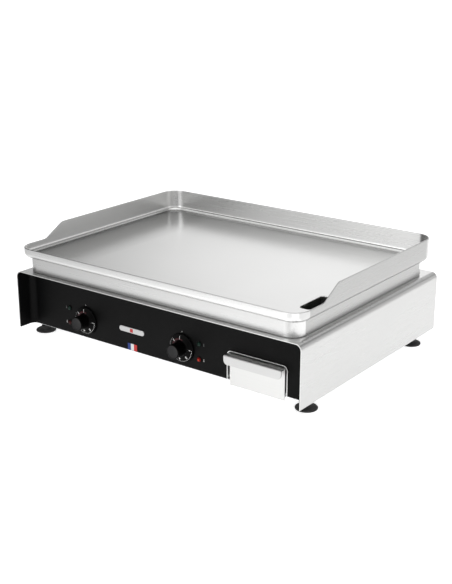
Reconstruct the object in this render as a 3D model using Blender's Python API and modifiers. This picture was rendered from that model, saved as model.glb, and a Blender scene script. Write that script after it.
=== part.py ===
"""Electric countertop flat top griddle with two heating zones and a grease drawer.

X runs across the front, Y from the front (-) to the back (+), Z up from the floor that the four
levelling feet stand on. The origin is on the floor, under the middle of the casing. Every length
is in metres. Sheet pieces that rest on each other keep a gap of 0.3 mm.
"""
import math

import bmesh
import bpy
from mathutils import Matrix, Vector

COLLECTION_NAME = "flat_top_griddle"
CUTTER_COLLECTION_NAME = "cutters"
GAP = 0.0003
TRIM_CLEARANCE = 0.0001
TRIM_ALLOWANCE = 0.0008
MERGE = 0.00001
CUT_MARGIN = 0.010

# Casing: one U-shaped sheet, top and two sides, with small flanges turned in at the bottom.
CASE_WIDTH = 0.660
CASE_DEPTH = 0.482
CASE_TOP = 0.134
CASE_BOTTOM = 0.018
CASE_SHEET = 0.0015
CASE_BEND = 0.012
CASE_FLANGE = 0.009
CASE_OPENING_CORNER = 0.016
CASE_FRONT = -CASE_DEPTH / 2
CASE_BACK = CASE_DEPTH / 2
CASE_SIDE = CASE_WIDTH / 2

# Front panel: painted sheet, recessed, with curved returns running forward along the sides.
PANEL_SHEET = 0.0012
PANEL_FACE_Y = CASE_FRONT + 0.0373
PANEL_BACK_Y = PANEL_FACE_Y + PANEL_SHEET
PANEL_BEND = 0.0142
PANEL_RETURN_Y = CASE_FRONT + 0.001
PANEL_SIDE = CASE_SIDE - CASE_SHEET - GAP
PANEL_TOP = CASE_TOP - CASE_SHEET - GAP

# Rear panel: flat sheet with louvre slots, less deeply recessed.
REAR_FACE_Y = CASE_BACK - 0.020
VENT_SLOT_WIDTH = 0.004
VENT_SLOT_HEIGHT = 0.036
VENT_PITCH = 0.012
VENTS_PER_GROUP = 9
VENT_GROUP_X = (-0.060, 0.170)
VENT_Z = 0.085

# Base pan: sheet under the casing flanges, turned up at the back.
BASE_SHEET = 0.0015
BASE_TOP = CASE_BOTTOM - GAP
BASE_SIDE = 0.3255
BASE_FRONT = PANEL_BACK_Y + TRIM_ALLOWANCE
BASE_BACK = REAR_FACE_Y - PANEL_SHEET - GAP
BASE_TURN_UP = 0.018
BASE_FLANGE_CLEARANCE = 0.0015

# Cooking plate: pressed tray with a low front lip and high walls on the other three sides.
PLATE_SIDE = 0.3243
PLATE_FRONT = CASE_FRONT + 0.0005
PLATE_BACK = 0.232
PLATE_SHEET = 0.0025
PLATE_UNDER = 0.1633
PLATE_TOP = PLATE_UNDER + PLATE_SHEET
PLATE_BEND = 0.011
PLATE_CORNER = 0.032
LIP_TOP = 0.1828
WALL_TOP = 0.2084
SLOPE_START_Y = CASE_FRONT + 0.076
SLOPE_END_Y = CASE_FRONT + 0.122
SLOPE_FILLET = 0.020

# Skirt: upright band under the plate, standing on the casing.
SKIRT_INSET = 0.011
SKIRT_CORNER = 0.028
SKIRT_SHEET = 0.0015
SKIRT_FLANGE = 0.0117
SKIRT_BOTTOM = CASE_TOP + GAP
SKIRT_TOP = PLATE_UNDER - GAP

# Drain slot in the plate, and the sloping chute from it to the drawer.
SLOT_X = (0.274, 0.298)
SLOT_Y = (-0.167, -0.091)
SLOT_CORNER = 0.008
CHUTE_WALL = 0.0012
CHUTE_CLEARANCE = 0.0005
CHUTE_SHIFT = -0.030
CHUTE_BOTTOM = 0.064

# Heating stack under the plate, from the top down.
SPREADER_TOP = PLATE_UNDER - GAP
SPREADER_THICKNESS = 0.006
SPREADER_X = (0.004, 0.300)
SPREADER_Y = (-0.200, 0.205)
ELEMENT_RADIUS = 0.004
ELEMENT_Z = SPREADER_TOP - SPREADER_THICKNESS - GAP - ELEMENT_RADIUS
ELEMENT_FIRST_X = 0.024
ELEMENT_PITCH = 0.044
ELEMENT_PASSES = 6
ELEMENT_Y = (-0.160, 0.135)
ELEMENT_END_Y = 0.190
ELEMENT_END_Z = 0.118
ELEMENT_DROP = 0.010
CLAMP_TOP = ELEMENT_Z - ELEMENT_RADIUS - GAP
CLAMP_THICKNESS = 0.0012
CLAMP_X = (0.010, 0.256)
CLAMP_Y = (-0.195, 0.170)
CLAMP_BOLT_X = ELEMENT_FIRST_X + 1.5 * ELEMENT_PITCH
CLAMP_BOLT_Y = (-0.100, 0.100)
CLAMP_HOLE_RADIUS = 0.0029
BOLT_SHANK_RADIUS = 0.0025
BOLT_HEAD_RADIUS = 0.0046
BOLT_HEAD_HEIGHT = 0.0035
SHIELD_BOTTOM = SKIRT_BOTTOM + SKIRT_SHEET + GAP
SHIELD_THICKNESS = 0.0012
SHIELD_X = 0.308
SHIELD_Y = (-0.226, 0.178)
INSULATION_BOTTOM = SHIELD_BOTTOM + SHIELD_THICKNESS + GAP
INSULATION_TOP = 0.1425
INSULATION_X = 0.300
INSULATION_Y = (-0.205, 0.175)
CHUTE_NOTCH_X = (0.255, 0.304)
CHUTE_NOTCH_Y = (-0.174, -0.084)

# Sensing bulbs, between the third and fourth pass of each element.
BULB_X = ELEMENT_FIRST_X + 2.5 * ELEMENT_PITCH
BULB_RADIUS = 0.003
CAPILLARY_RADIUS = 0.0010
BULB_Y = (-0.060, 0.040)
CAPILLARY_DROP = 0.012
CAPILLARY_DROP_Y = 0.176

# Controls on the front panel.
KNOB_X = (-0.183, 0.053)
KNOB_Z = 0.0525
KNOB_SKIRT_RADIUS = 0.0275
KNOB_GRIP_RADIUS = 0.0136
KNOB_HEIGHT = 0.0278
KNOB_BACK = 0.0010
KNOB_DISH = 0.0010
INDEX_BAR_WIDTH = 0.0016
INDEX_BAR_RADII = (0.0165, 0.0240)
INDEX_BAR_HEIGHTS = (0.0035, 0.0058)
SHAFT_RADIUS = 0.003
SHAFT_END = 0.0145
SHAFT_BORE_END = 0.0150
SHAFT_INSIDE = 0.0090
SHAFT_BORE_RADIUS = 0.0034
SHAFT_HOLE_RADIUS = 0.0045
THERMOSTAT_SIZE = (0.036, 0.030, 0.036)
LAMP_X = (-0.2265, 0.0920)
LAMP_GREEN_Z = 0.0685
LAMP_RED_Z = 0.0390
LAMP_LENS_RADIUS = 0.0050
LAMP_BODY_RADIUS = 0.0043
LAMP_HOLE_RADIUS = 0.0048
LAMP_COLLAR = 0.0006
LAMP_DEPTH = 0.0240

# Grease drawer, its opening and its rails.
DRAWER_X = 0.217
OPENING_HALF = 0.0634
OPENING_TOP = 0.0725
OPENING_CORNER = 0.009
SURROUND_WALL = 0.0015
SURROUND_PROUD = 0.0010
SURROUND_DEPTH = 0.009
FRONT_HALF = 0.0575
FRONT_SHEET = 0.0015
FRONT_BOTTOM = 0.0080
HANDLE_TOP = 0.0685
HANDLE_HALF = 0.0600
HANDLE_REACH = 0.0155
HANDLE_DROP = 0.0170
HANDLE_CORNER = 0.008
FOLD_RADIUS = 0.0022
TRAY_HALF = 0.0545
TRAY_SHEET = 0.0010
TRAY_BOTTOM = 0.0090
TRAY_TOP = 0.0600
TRAY_BACK = 0.060
TRAY_FLANGE = 0.0055
TRAY_CORNER = 0.004
RAIL_WEB = 0.0620
RAIL_SHEET = 0.0012
RAIL_LEDGE_IN = 0.0560
RAIL_Y = (-0.194, 0.062)
RAIL_FOOT = 0.0070
RAIL_PLAY = 0.0010
NOTCH_HALF = 0.0565
NOTCH_BEHIND = 0.004

# Levelling feet.
FOOT_X = 0.310
FOOT_Y = (-0.190, 0.183)
PAD_RADIUS = 0.0199
PAD_HEIGHT = 0.0118
SOCKET_RADIUS = 0.0043
SOCKET_FLOOR = 0.0040
STUD_RADIUS = 0.0040
STUD_BOTTOM = 0.0043
STUD_TOP = 0.0400
STUD_HOLE_RADIUS = 0.0045
STUD_CHAMFER = 0.0008
STUD_SLOT = (0.0012, 0.0015)
NUT_ACROSS_FLATS = 0.013
NUT_HEIGHT = 0.0065

# Supply inlet at the back.
GLAND_X = -0.255
GLAND_Z = 0.050
GLAND_THREAD_RADIUS = 0.0098
GLAND_HOLE_RADIUS = 0.0102
GLAND_BORE_RADIUS = 0.0045
GLAND_COLLAR_RADIUS = 0.0130
GLAND_REACH = 0.0172
GLAND_THREAD_END = -0.0130
GLAND_NUT_RADIUS = 0.0135
GLAND_NUT_Y = (-0.0015, -0.0065)
TERMINAL_BLOCK_SIZE = (0.060, 0.022, 0.020)
TERMINAL_BLOCK_PLACE = (-0.170, 0.185, 0.0285)
TERMINAL_WELLS = 5
TERMINAL_PITCH = 0.011
TERMINAL_WELL_RADIUS = 0.0032
LOOM_RADIUS = 0.0028
LOOM_END_GAP = 0.0035
LOOM_OFFSET = 0.010

# Plain badge and banded label on the front panel, and the screws of the rear panel.
BADGE_X = -0.0665
BADGE_Z = 0.0580
BADGE_SIZE = (0.060, 0.010, 0.0015)
BADGE_CORNER = 0.0045
LABEL_X = -0.0663
LABEL_SIZE = (0.0225, 0.0130, 0.0003)
LABEL_BOTTOM = 0.0184
REAR_SCREW_X = (-0.285, -0.100, 0.100, 0.285)
REAR_SCREW_Z = 0.0265
REAR_SCREW_RADIUS = 0.0020
REAR_SCREW_HEAD = 0.0038
REAR_SCREW_DEPTH = 0.0075

XY_PLANE = Matrix.Identity(4)
XZ_PLANE = Matrix.Rotation(math.radians(90), 4, "X")
YZ_PLANE = Matrix(((0, 0, 1, 0), (1, 0, 0, 0), (0, 1, 0, 0), (0, 0, 0, 1)))
FACING_FRONT = (math.radians(90), 0.0, 0.0)
FACING_BACK = (math.radians(-90), 0.0, 0.0)
SMOOTH_ANGLE = math.radians(35)


# ---------------------------------------------------------------- scene and materials

def clear_scene():
    for item in list(bpy.data.objects):
        bpy.data.objects.remove(item, do_unlink=True)


def make_collection(name):
    collection = bpy.data.collections.new(name)
    bpy.context.scene.collection.children.link(collection)
    return collection


def make_material(name, colour, roughness, metallic):
    material = bpy.data.materials.new(name)
    material.use_nodes = True
    shader = material.node_tree.nodes["Principled BSDF"]
    shader.inputs["Base Color"].default_value = (*colour, 1.0)
    shader.inputs["Roughness"].default_value = roughness
    shader.inputs["Metallic"].default_value = metallic
    return material


clear_scene()
PARTS = make_collection(COLLECTION_NAME)
CUTTERS = make_collection(CUTTER_COLLECTION_NAME)

BRUSHED = make_material("brushed_steel", (0.62, 0.62, 0.61), 0.34, 1.0)
PLATE_STEEL = make_material("plate_steel", (0.68, 0.68, 0.67), 0.28, 1.0)
ZINC = make_material("zinc_steel", (0.50, 0.51, 0.52), 0.45, 1.0)
BLACK_PAINT = make_material("black_paint", (0.012, 0.012, 0.013), 0.42, 0.0)
KNOB_PLASTIC = make_material("knob_plastic", (0.006, 0.006, 0.006), 0.30, 0.0)
FOOT_PLASTIC = make_material("foot_plastic", (0.020, 0.020, 0.020), 0.55, 0.0)
ALUMINIUM = make_material("spreader_aluminium", (0.72, 0.72, 0.72), 0.40, 1.0)
ELEMENT_SHEATH = make_material("element_sheath", (0.16, 0.15, 0.14), 0.55, 1.0)
INSULATION = make_material("ceramic_wool", (0.78, 0.76, 0.70), 0.95, 0.0)
WHITE_PLASTIC = make_material("white_plastic", (0.75, 0.74, 0.70), 0.50, 0.0)
GREEN_LENS = make_material("green_lens", (0.02, 0.10, 0.06), 0.15, 0.0)
RED_LENS = make_material("red_lens", (0.45, 0.02, 0.01), 0.15, 0.0)
COPPER = make_material("capillary_copper", (0.65, 0.35, 0.22), 0.35, 1.0)
LABEL_FILM = make_material("label_film", (0.75, 0.75, 0.75), 0.40, 0.0)
LOOM_SLEEVE = make_material("loom_sleeve", (0.10, 0.10, 0.10), 0.70, 0.0)


# ---------------------------------------------------------------- modelling helpers

def add_object(name, data, material=None, collection=None, location=(0, 0, 0), rotation=(0, 0, 0)):
    item = bpy.data.objects.new(name, data)
    item.location = location
    item.rotation_euler = rotation
    (collection or PARTS).objects.link(item)
    if material is not None:
        data.materials.append(material)
    return item


def mesh_of(name, bm):
    mesh = bpy.data.meshes.new(name)
    bm.to_mesh(mesh)
    bm.free()
    mesh.shade_smooth()
    mesh.set_sharp_from_angle(angle=SMOOTH_ANGLE)
    return mesh


def mark_cutter(item):
    item.hide_render = True
    item.display_type = "WIRE"
    return item


def box_bmesh(low, high):
    bm = bmesh.new()
    size = [high[i] - low[i] for i in range(3)]
    middle = [(high[i] + low[i]) / 2 for i in range(3)]
    place = Matrix.Translation(middle) @ Matrix.Diagonal((*size, 1.0))
    bmesh.ops.create_cube(bm, size=1.0, matrix=place)
    return bm


def block(name, low, high, material, bevel=0.0):
    middle = [(high[i] + low[i]) / 2 for i in range(3)]
    bm = box_bmesh([low[i] - middle[i] for i in range(3)], [high[i] - middle[i] for i in range(3)])
    item = add_object(name, mesh_of(name, bm), material, location=middle)
    if bevel:
        add_bevel(item, bevel)
    return item


def box_cutter(name, low, high):
    return mark_cutter(add_object(name, mesh_of(name, box_bmesh(low, high)), None, CUTTERS))


def rod_cutter(name, centre, radius, length, direction, sides=20):
    bm = bmesh.new()
    turn = Vector((0, 0, 1)).rotation_difference(Vector(direction)).to_matrix().to_4x4()
    bmesh.ops.create_cone(bm, cap_ends=True, segments=sides, radius1=radius, radius2=radius,
                          depth=length, matrix=Matrix.Translation(centre) @ turn)
    return mark_cutter(add_object(name, mesh_of(name, bm), None, CUTTERS))


def add_bevel(item, width, segments=2):
    bevel = item.modifiers.new("edges", "BEVEL")
    bevel.width = width
    bevel.segments = segments
    bevel.limit_method = "ANGLE"
    bevel.angle_limit = math.radians(40)


def add_solidify(item, thickness, offset=-1.0):
    solidify = item.modifiers.new("sheet", "SOLIDIFY")
    solidify.thickness = thickness
    solidify.offset = offset
    solidify.use_even_offset = True


def add_boolean(item, other, operation="DIFFERENCE"):
    boolean = item.modifiers.new(other.name, "BOOLEAN")
    boolean.operation = operation
    boolean.solver = "EXACT"
    boolean.object = other


def arc(centre, radius, start, end, steps):
    """Points on a circle in a plane, from one angle to another in degrees."""
    points = []
    for i in range(steps + 1):
        angle = math.radians(start + (end - start) * i / steps)
        points.append((centre[0] + radius * math.cos(angle), centre[1] + radius * math.sin(angle)))
    return points


def fillet(before, corner, after, radius, steps):
    """Points of the arc that rounds one corner of a path in a plane."""
    corner = Vector(corner)
    towards = (Vector(before) - corner).normalized()
    onwards = (Vector(after) - corner).normalized()
    half = towards.angle(onwards) / 2
    start = corner + towards * (radius / math.tan(half))
    end = corner + onwards * (radius / math.tan(half))
    centre = corner + (towards + onwards).normalized() * (radius / math.sin(half))
    points = []
    for i in range(steps + 1):
        share = i / steps
        spoke = (start - centre).slerp(end - centre, share)
        points.append(tuple(centre + spoke.normalized() * radius))
    return points


def rounded_path(points, radius, steps, closed=False):
    """A path in a plane with each of its corners rounded."""
    count = len(points)
    path = []
    for i, point in enumerate(points):
        if not closed and i in (0, count - 1):
            path.append(point)
        else:
            path += fillet(points[i - 1], point, points[(i + 1) % count], radius, steps)
    return path


def rounded_rectangle(low, high, radius, steps):
    corners = [(low[0], low[1]), (high[0], low[1]), (high[0], high[1]), (low[0], high[1])]
    return rounded_path(corners, radius, steps, closed=True)


def curve_to_mesh(item):
    """Replace a curve object by a mesh object of the same shape, with its caps welded."""
    evaluated = item.evaluated_get(bpy.context.evaluated_depsgraph_get())
    mesh = bpy.data.meshes.new_from_object(evaluated)
    bm = bmesh.new()
    bm.from_mesh(mesh)
    bmesh.ops.remove_doubles(bm, verts=bm.verts, dist=MERGE)
    bm.to_mesh(mesh)
    bm.free()
    place = item.matrix_world.copy()
    name = item.name
    bpy.data.objects.remove(item, do_unlink=True)
    return name, mesh, place


def outline_solid(name, outline, thickness, plane, centre, material=None, collection=None):
    """A flat outline with a thickness, standing in one of the three planes."""
    curve = bpy.data.curves.new(name, "CURVE")
    curve.dimensions = "2D"
    curve.fill_mode = "BOTH"
    curve.extrude = thickness / 2
    spline = curve.splines.new("POLY")
    spline.points.add(len(outline) - 1)
    for point, place in zip(spline.points, outline):
        point.co = (place[0], place[1], 0.0, 1.0)
    spline.use_cyclic_u = True
    item = add_object(name, curve)
    item.matrix_world = Matrix.Translation(centre) @ plane
    bpy.context.view_layer.update()
    name, mesh, place = curve_to_mesh(item)
    mesh.shade_smooth()
    mesh.set_sharp_from_angle(angle=SMOOTH_ANGLE)
    solid = add_object(name, mesh, material, collection)
    solid.matrix_world = place
    return solid


def outline_cutter(name, outline, thickness, plane, centre):
    return mark_cutter(outline_solid(name, outline, thickness, plane, centre, None, CUTTERS))


def tube(name, points, radius, material, radii=None):
    """A round bar along a path; radii gives each point's own radius."""
    curve = bpy.data.curves.new(name, "CURVE")
    curve.dimensions = "3D"
    curve.bevel_depth = radius
    curve.bevel_resolution = 2
    curve.use_fill_caps = True
    spline = curve.splines.new("POLY")
    spline.points.add(len(points) - 1)
    for i, place in enumerate(points):
        spline.points[i].co = (*place, 1.0)
        if radii is not None:
            spline.points[i].radius = radii[i] / radius
    return add_object(name, curve, material)


def turned(name, profile, steps, material, location, rotation=(0, 0, 0)):
    """A turned solid; the profile runs from the top of its axis, outside, to the bottom."""
    mesh = bpy.data.meshes.new(name)
    links = [(i, i + 1) for i in range(len(profile) - 1)]
    mesh.from_pydata([(radius, 0.0, height) for radius, height in profile], links, [])
    item = add_object(name, mesh, material, location=location, rotation=rotation)
    screw = item.modifiers.new("turn", "SCREW")
    screw.axis = "Z"
    screw.angle = math.tau
    screw.steps = steps
    screw.render_steps = steps
    screw.use_merge_vertices = True
    screw.merge_threshold = MERGE
    screw.use_smooth_shade = True
    return item


def folded_sheet(name, profile, along, start, end, thickness, material, offset=-1.0):
    """A sheet folded along a profile: the profile is swept along X, Y or Z, then thickened.

    The profile's two numbers are the two remaining axes, in their order in the alphabet.
    """
    axis = "XYZ".index(along)
    bm = bmesh.new()
    verts = []
    for first, second in profile:
        place = [first, second]
        place.insert(axis, start)
        verts.append(bm.verts.new(place))
    edges = [bm.edges.new((verts[i], verts[i + 1])) for i in range(len(verts) - 1)]
    swept = bmesh.ops.extrude_edge_only(bm, edges=edges)
    moved = [item for item in swept["geom"] if isinstance(item, bmesh.types.BMVert)]
    step = [0.0, 0.0, 0.0]
    step[axis] = end - start
    bmesh.ops.translate(bm, verts=moved, vec=step)
    item = add_object(name, mesh_of(name, bm), material)
    add_solidify(item, thickness, offset)
    return item


def open_box(low, high, open_sides):
    """A box without some of its sides, named by axis and sign, such as +Z."""
    bm = box_bmesh(low, high)
    normals = {"+X": (1, 0, 0), "-X": (-1, 0, 0), "+Y": (0, 1, 0), "-Y": (0, -1, 0),
               "+Z": (0, 0, 1), "-Z": (0, 0, -1)}
    doomed = [face for face in bm.faces
              if any(face.normal.dot(Vector(normals[side])) > 0.9 for side in open_sides)]
    bmesh.ops.delete(bm, geom=doomed, context="FACES")
    return bm


def upright_edges(bm):
    """The edges that stand upright at the corners of an open box."""
    return [edge for edge in bm.edges
            if abs(edge.verts[0].co.z - edge.verts[1].co.z) > 0.005 and len(edge.link_faces) == 2]


def bottom_edges(bm, height):
    return [edge for edge in bm.edges
            if len(edge.link_faces) == 2 and all(abs(v.co.z - height) < MERGE for v in edge.verts)]


def round_edges(bm, edges, radius, segments):
    bmesh.ops.bevel(bm, geom=edges, offset=radius, segments=segments, profile=0.5,
                    affect="EDGES", clamp_overlap=False)


# ---------------------------------------------------------------- casing and panels

def make_casing():
    profile = [(-CASE_SIDE + CASE_FLANGE, CASE_BOTTOM), (-CASE_SIDE, CASE_BOTTOM)]
    profile += arc((-CASE_SIDE + CASE_BEND, CASE_TOP - CASE_BEND), CASE_BEND, 180, 90, 8)
    profile += arc((CASE_SIDE - CASE_BEND, CASE_TOP - CASE_BEND), CASE_BEND, 90, 0, 8)
    profile += [(CASE_SIDE, CASE_BOTTOM), (CASE_SIDE - CASE_FLANGE, CASE_BOTTOM)]
    casing = folded_sheet("casing_shell", profile, "Y", CASE_FRONT, CASE_BACK, CASE_SHEET, BRUSHED,
                          1.0)
    inset = SKIRT_INSET + SKIRT_FLANGE
    outline = rounded_rectangle((-PLATE_SIDE + inset, PLATE_FRONT + inset),
                                (PLATE_SIDE - inset, PLATE_BACK - inset),
                                CASE_OPENING_CORNER, 4)
    opening = outline_cutter("casing_opening", outline, 2 * CUT_MARGIN, XY_PLANE, (0, 0, CASE_TOP))
    add_boolean(casing, opening)
    inner_side = CASE_SIDE - CASE_SHEET - TRIM_CLEARANCE
    for end, y_low, y_high in (("front", CASE_FRONT - CUT_MARGIN, BASE_FRONT),
                               ("rear", BASE_BACK, CASE_BACK + CUT_MARGIN)):
        relief = box_cutter("flange_relief_" + end, (-inner_side, y_low, 0.0),
                            (inner_side, y_high, CASE_BOTTOM + 2 * CASE_SHEET))
        add_boolean(casing, relief)
    return casing


def make_casing_inside():
    """The space inside the casing, which trims the upper corners of the two panels."""
    half = CASE_SIDE - CASE_SHEET - TRIM_CLEARANCE
    bend = CASE_BEND - CASE_SHEET
    outline = [(-half, 0.0), (half, 0.0)]
    outline += arc((half - bend, PANEL_TOP - bend), bend, 0, 90, 8)
    outline += arc((-half + bend, PANEL_TOP - bend), bend, 90, 180, 8)
    return outline_cutter("casing_inside", outline, 2 * CASE_DEPTH, XZ_PLANE, (0, 0, 0))


def drawer_opening_outline(half, top, radius):
    bottom = CASE_BOTTOM - CUT_MARGIN
    outline = [(DRAWER_X - half, bottom), (DRAWER_X + half, bottom)]
    outline += arc((DRAWER_X + half - radius, top - radius), radius, 0, 90, 6)
    outline += arc((DRAWER_X - half + radius, top - radius), radius, 90, 180, 6)
    return outline


def make_front_panel(inside):
    raw_top = PANEL_TOP + TRIM_ALLOWANCE
    bm = open_box((-PANEL_SIDE, PANEL_RETURN_Y, CASE_BOTTOM), (PANEL_SIDE, PANEL_BACK_Y, raw_top),
                  ("-Y", "+Z", "-Z"))
    round_edges(bm, upright_edges(bm), PANEL_BEND, 8)
    panel = add_object("front_panel", mesh_of("front_panel", bm), BLACK_PAINT)
    add_solidify(panel, PANEL_SHEET)
    add_boolean(panel, inside, "INTERSECT")
    for side, x in zip(("left", "right"), KNOB_X):
        hole = rod_cutter("shaft_hole_" + side, (x, PANEL_FACE_Y, KNOB_Z), SHAFT_HOLE_RADIUS,
                          CUT_MARGIN, (0, 1, 0))
        add_boolean(panel, hole)
    for side, x in zip(("left", "right"), LAMP_X):
        for colour, z in (("green", LAMP_GREEN_Z), ("red", LAMP_RED_Z)):
            hole = rod_cutter("lamp_hole_" + colour + "_" + side, (x, PANEL_FACE_Y, z),
                              LAMP_HOLE_RADIUS, CUT_MARGIN, (0, 1, 0), 16)
            add_boolean(panel, hole)
    outline = drawer_opening_outline(OPENING_HALF + GAP, OPENING_TOP + GAP, OPENING_CORNER + GAP)
    opening = outline_cutter("drawer_opening", outline, CUT_MARGIN, XZ_PLANE, (0, PANEL_FACE_Y, 0))
    add_boolean(panel, opening)
    return panel


def vent_cutter(name, group_x, plane_y):
    """One cutter with a row of upright louvre slots."""
    bm = bmesh.new()
    for i in range(VENTS_PER_GROUP):
        x = group_x + (i - (VENTS_PER_GROUP - 1) / 2) * VENT_PITCH
        place = Matrix.Translation((x, plane_y, VENT_Z))
        size = Matrix.Diagonal((VENT_SLOT_WIDTH, CUT_MARGIN, VENT_SLOT_HEIGHT, 1.0))
        bmesh.ops.create_cube(bm, size=1.0, matrix=place @ size)
    return mark_cutter(add_object(name, mesh_of(name, bm), None, CUTTERS))


def make_rear_panel(inside):
    low = (-PANEL_SIDE, REAR_FACE_Y - PANEL_SHEET, CASE_BOTTOM)
    high = (PANEL_SIDE, REAR_FACE_Y, PANEL_TOP + TRIM_ALLOWANCE)
    panel = block("rear_panel", low, high, BRUSHED)
    add_boolean(panel, inside, "INTERSECT")
    for i, x in enumerate(VENT_GROUP_X):
        add_boolean(panel, vent_cutter("vent_slots_%d" % (i + 1), x, REAR_FACE_Y))
    add_boolean(panel, rod_cutter("gland_hole", (GLAND_X, REAR_FACE_Y, GLAND_Z), GLAND_HOLE_RADIUS,
                                  CUT_MARGIN, (0, 1, 0), 24))
    for i, x in enumerate(REAR_SCREW_X):
        hole = rod_cutter("rear_screw_hole_%d" % (i + 1), (x, BASE_BACK, REAR_SCREW_Z),
                          REAR_SCREW_RADIUS + GAP, CUT_MARGIN, (0, 1, 0), 12)
        add_boolean(panel, hole)
    return panel


def make_base_pan():
    bottom = BASE_TOP - BASE_SHEET
    profile = [(BASE_FRONT, bottom), (BASE_BACK, bottom), (BASE_BACK, BASE_TOP + BASE_TURN_UP)]
    pan = folded_sheet("base_pan", profile, "X", -BASE_SIDE, BASE_SIDE, BASE_SHEET, ZINC, 1.0)
    relief = CASE_SIDE - CASE_SHEET - CASE_FLANGE - BASE_FLANGE_CLEARANCE
    for side in (-1, 1):
        low = (min(side * relief, side * CASE_SIDE), 0.0, BASE_TOP + TRIM_CLEARANCE)
        high = (max(side * relief, side * CASE_SIDE), CASE_DEPTH, CASE_TOP)
        add_boolean(pan, box_cutter("turn_up_relief_%d" % (side + 2), low, high))
    notch_front = (DRAWER_X - NOTCH_HALF, BASE_FRONT - CUT_MARGIN, 0.0)
    notch_back = (DRAWER_X + NOTCH_HALF, TRAY_BACK + NOTCH_BEHIND, CASE_BOTTOM + CUT_MARGIN)
    add_boolean(pan, box_cutter("drawer_notch", notch_front, notch_back))
    for name, x, y in foot_places():
        hole = rod_cutter("stud_hole_" + name, (x, y, BASE_TOP), STUD_HOLE_RADIUS, CUT_MARGIN,
                          (0, 0, 1), 16)
        add_boolean(pan, hole)
    for i, x in enumerate(REAR_SCREW_X):
        hole = rod_cutter("pan_screw_hole_%d" % (i + 1), (x, BASE_BACK, REAR_SCREW_Z),
                          REAR_SCREW_RADIUS + GAP, CUT_MARGIN, (0, 1, 0), 12)
        add_boolean(pan, hole)
    return pan


# ---------------------------------------------------------------- plate and heating stack

def make_griddle_plate():
    bm = open_box((-PLATE_SIDE, PLATE_FRONT, PLATE_UNDER), (PLATE_SIDE, PLATE_BACK, WALL_TOP),
                  ("+Z",))
    round_edges(bm, upright_edges(bm), PLATE_CORNER, 12)
    round_edges(bm, bottom_edges(bm, PLATE_UNDER), PLATE_BEND, 6)
    plate = add_object("griddle_plate", mesh_of("griddle_plate", bm), PLATE_STEEL)
    add_solidify(plate, PLATE_SHEET)
    front = PLATE_FRONT - CUT_MARGIN
    above = WALL_TOP + CUT_MARGIN
    slope = (WALL_TOP - LIP_TOP) / (SLOPE_END_Y - SLOPE_START_Y)
    over_y = SLOPE_END_Y + (above - WALL_TOP) / slope
    outline = [(front, LIP_TOP)]
    outline += fillet((front, LIP_TOP), (SLOPE_START_Y, LIP_TOP), (SLOPE_END_Y, WALL_TOP),
                      SLOPE_FILLET, 5)
    outline += [(over_y, above), (front, above)]
    add_boolean(plate, outline_cutter("lip_cutter", outline, 3 * PLATE_SIDE, YZ_PLANE, (0, 0, 0)))
    slot = rounded_rectangle((SLOT_X[0], SLOT_Y[0]), (SLOT_X[1], SLOT_Y[1]), SLOT_CORNER, 4)
    add_boolean(plate, outline_cutter("slot_cutter", slot, CUT_MARGIN, XY_PLANE, (0, 0, PLATE_TOP)))
    return plate


def make_skirt():
    low = (-PLATE_SIDE + SKIRT_INSET, PLATE_FRONT + SKIRT_INSET, SKIRT_BOTTOM)
    high = (PLATE_SIDE - SKIRT_INSET, PLATE_BACK - SKIRT_INSET, SKIRT_TOP)
    bm = open_box(low, high, ("+Z",))
    round_edges(bm, upright_edges(bm), SKIRT_CORNER, 10)
    floor = max(bm.faces, key=lambda face: face.calc_area())
    bmesh.ops.inset_region(bm, faces=[floor], thickness=SKIRT_FLANGE)
    bmesh.ops.delete(bm, geom=[floor], context="FACES")
    skirt = add_object("plate_skirt", mesh_of("plate_skirt", bm), BRUSHED)
    add_solidify(skirt, SKIRT_SHEET)
    return skirt


def make_chute_notch(name):
    low = (CHUTE_NOTCH_X[0], CHUTE_NOTCH_Y[0], CASE_TOP - CUT_MARGIN)
    high = (CHUTE_NOTCH_X[1], CHUTE_NOTCH_Y[1], PLATE_TOP)
    return box_cutter(name, low, high)


def mirrored_x(limits, side):
    return sorted((side * limits[0], side * limits[1]))


def make_spreader(name, side, notch):
    x_low, x_high = mirrored_x(SPREADER_X, side)
    spreader = block(name, (x_low, SPREADER_Y[0], SPREADER_TOP - SPREADER_THICKNESS),
                     (x_high, SPREADER_Y[1], SPREADER_TOP), ALUMINIUM)
    if side > 0:
        add_boolean(spreader, notch)
    return spreader


def element_path(side):
    """The run of one heating element: passes along Y, joined by half circles."""
    radius = ELEMENT_PITCH / 2
    front, back = ELEMENT_Y
    first = ELEMENT_FIRST_X
    last = ELEMENT_FIRST_X + (ELEMENT_PASSES - 1) * ELEMENT_PITCH
    drop = ELEMENT_DROP
    down = [(ELEMENT_END_Y, ELEMENT_END_Z)]
    down += arc((ELEMENT_END_Y - drop, ELEMENT_Z - drop), drop, 0, 90, 4)
    path = [(first, y, z) for y, z in down]
    for i in range(ELEMENT_PASSES - 1):
        middle = first + (i + 0.5) * ELEMENT_PITCH
        if i % 2 == 0:
            bend = arc((middle, front), radius, 180, 360, 6)
        else:
            bend = arc((middle, back), radius, 180, 0, 6)
        path += [(x, y, ELEMENT_Z) for x, y in bend]
    path += [(last, y, z) for y, z in reversed(down)]
    return [(side * x, y, z) for x, y, z in path]


def make_element(name, side):
    return tube(name, element_path(side), ELEMENT_RADIUS, ELEMENT_SHEATH)


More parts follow.
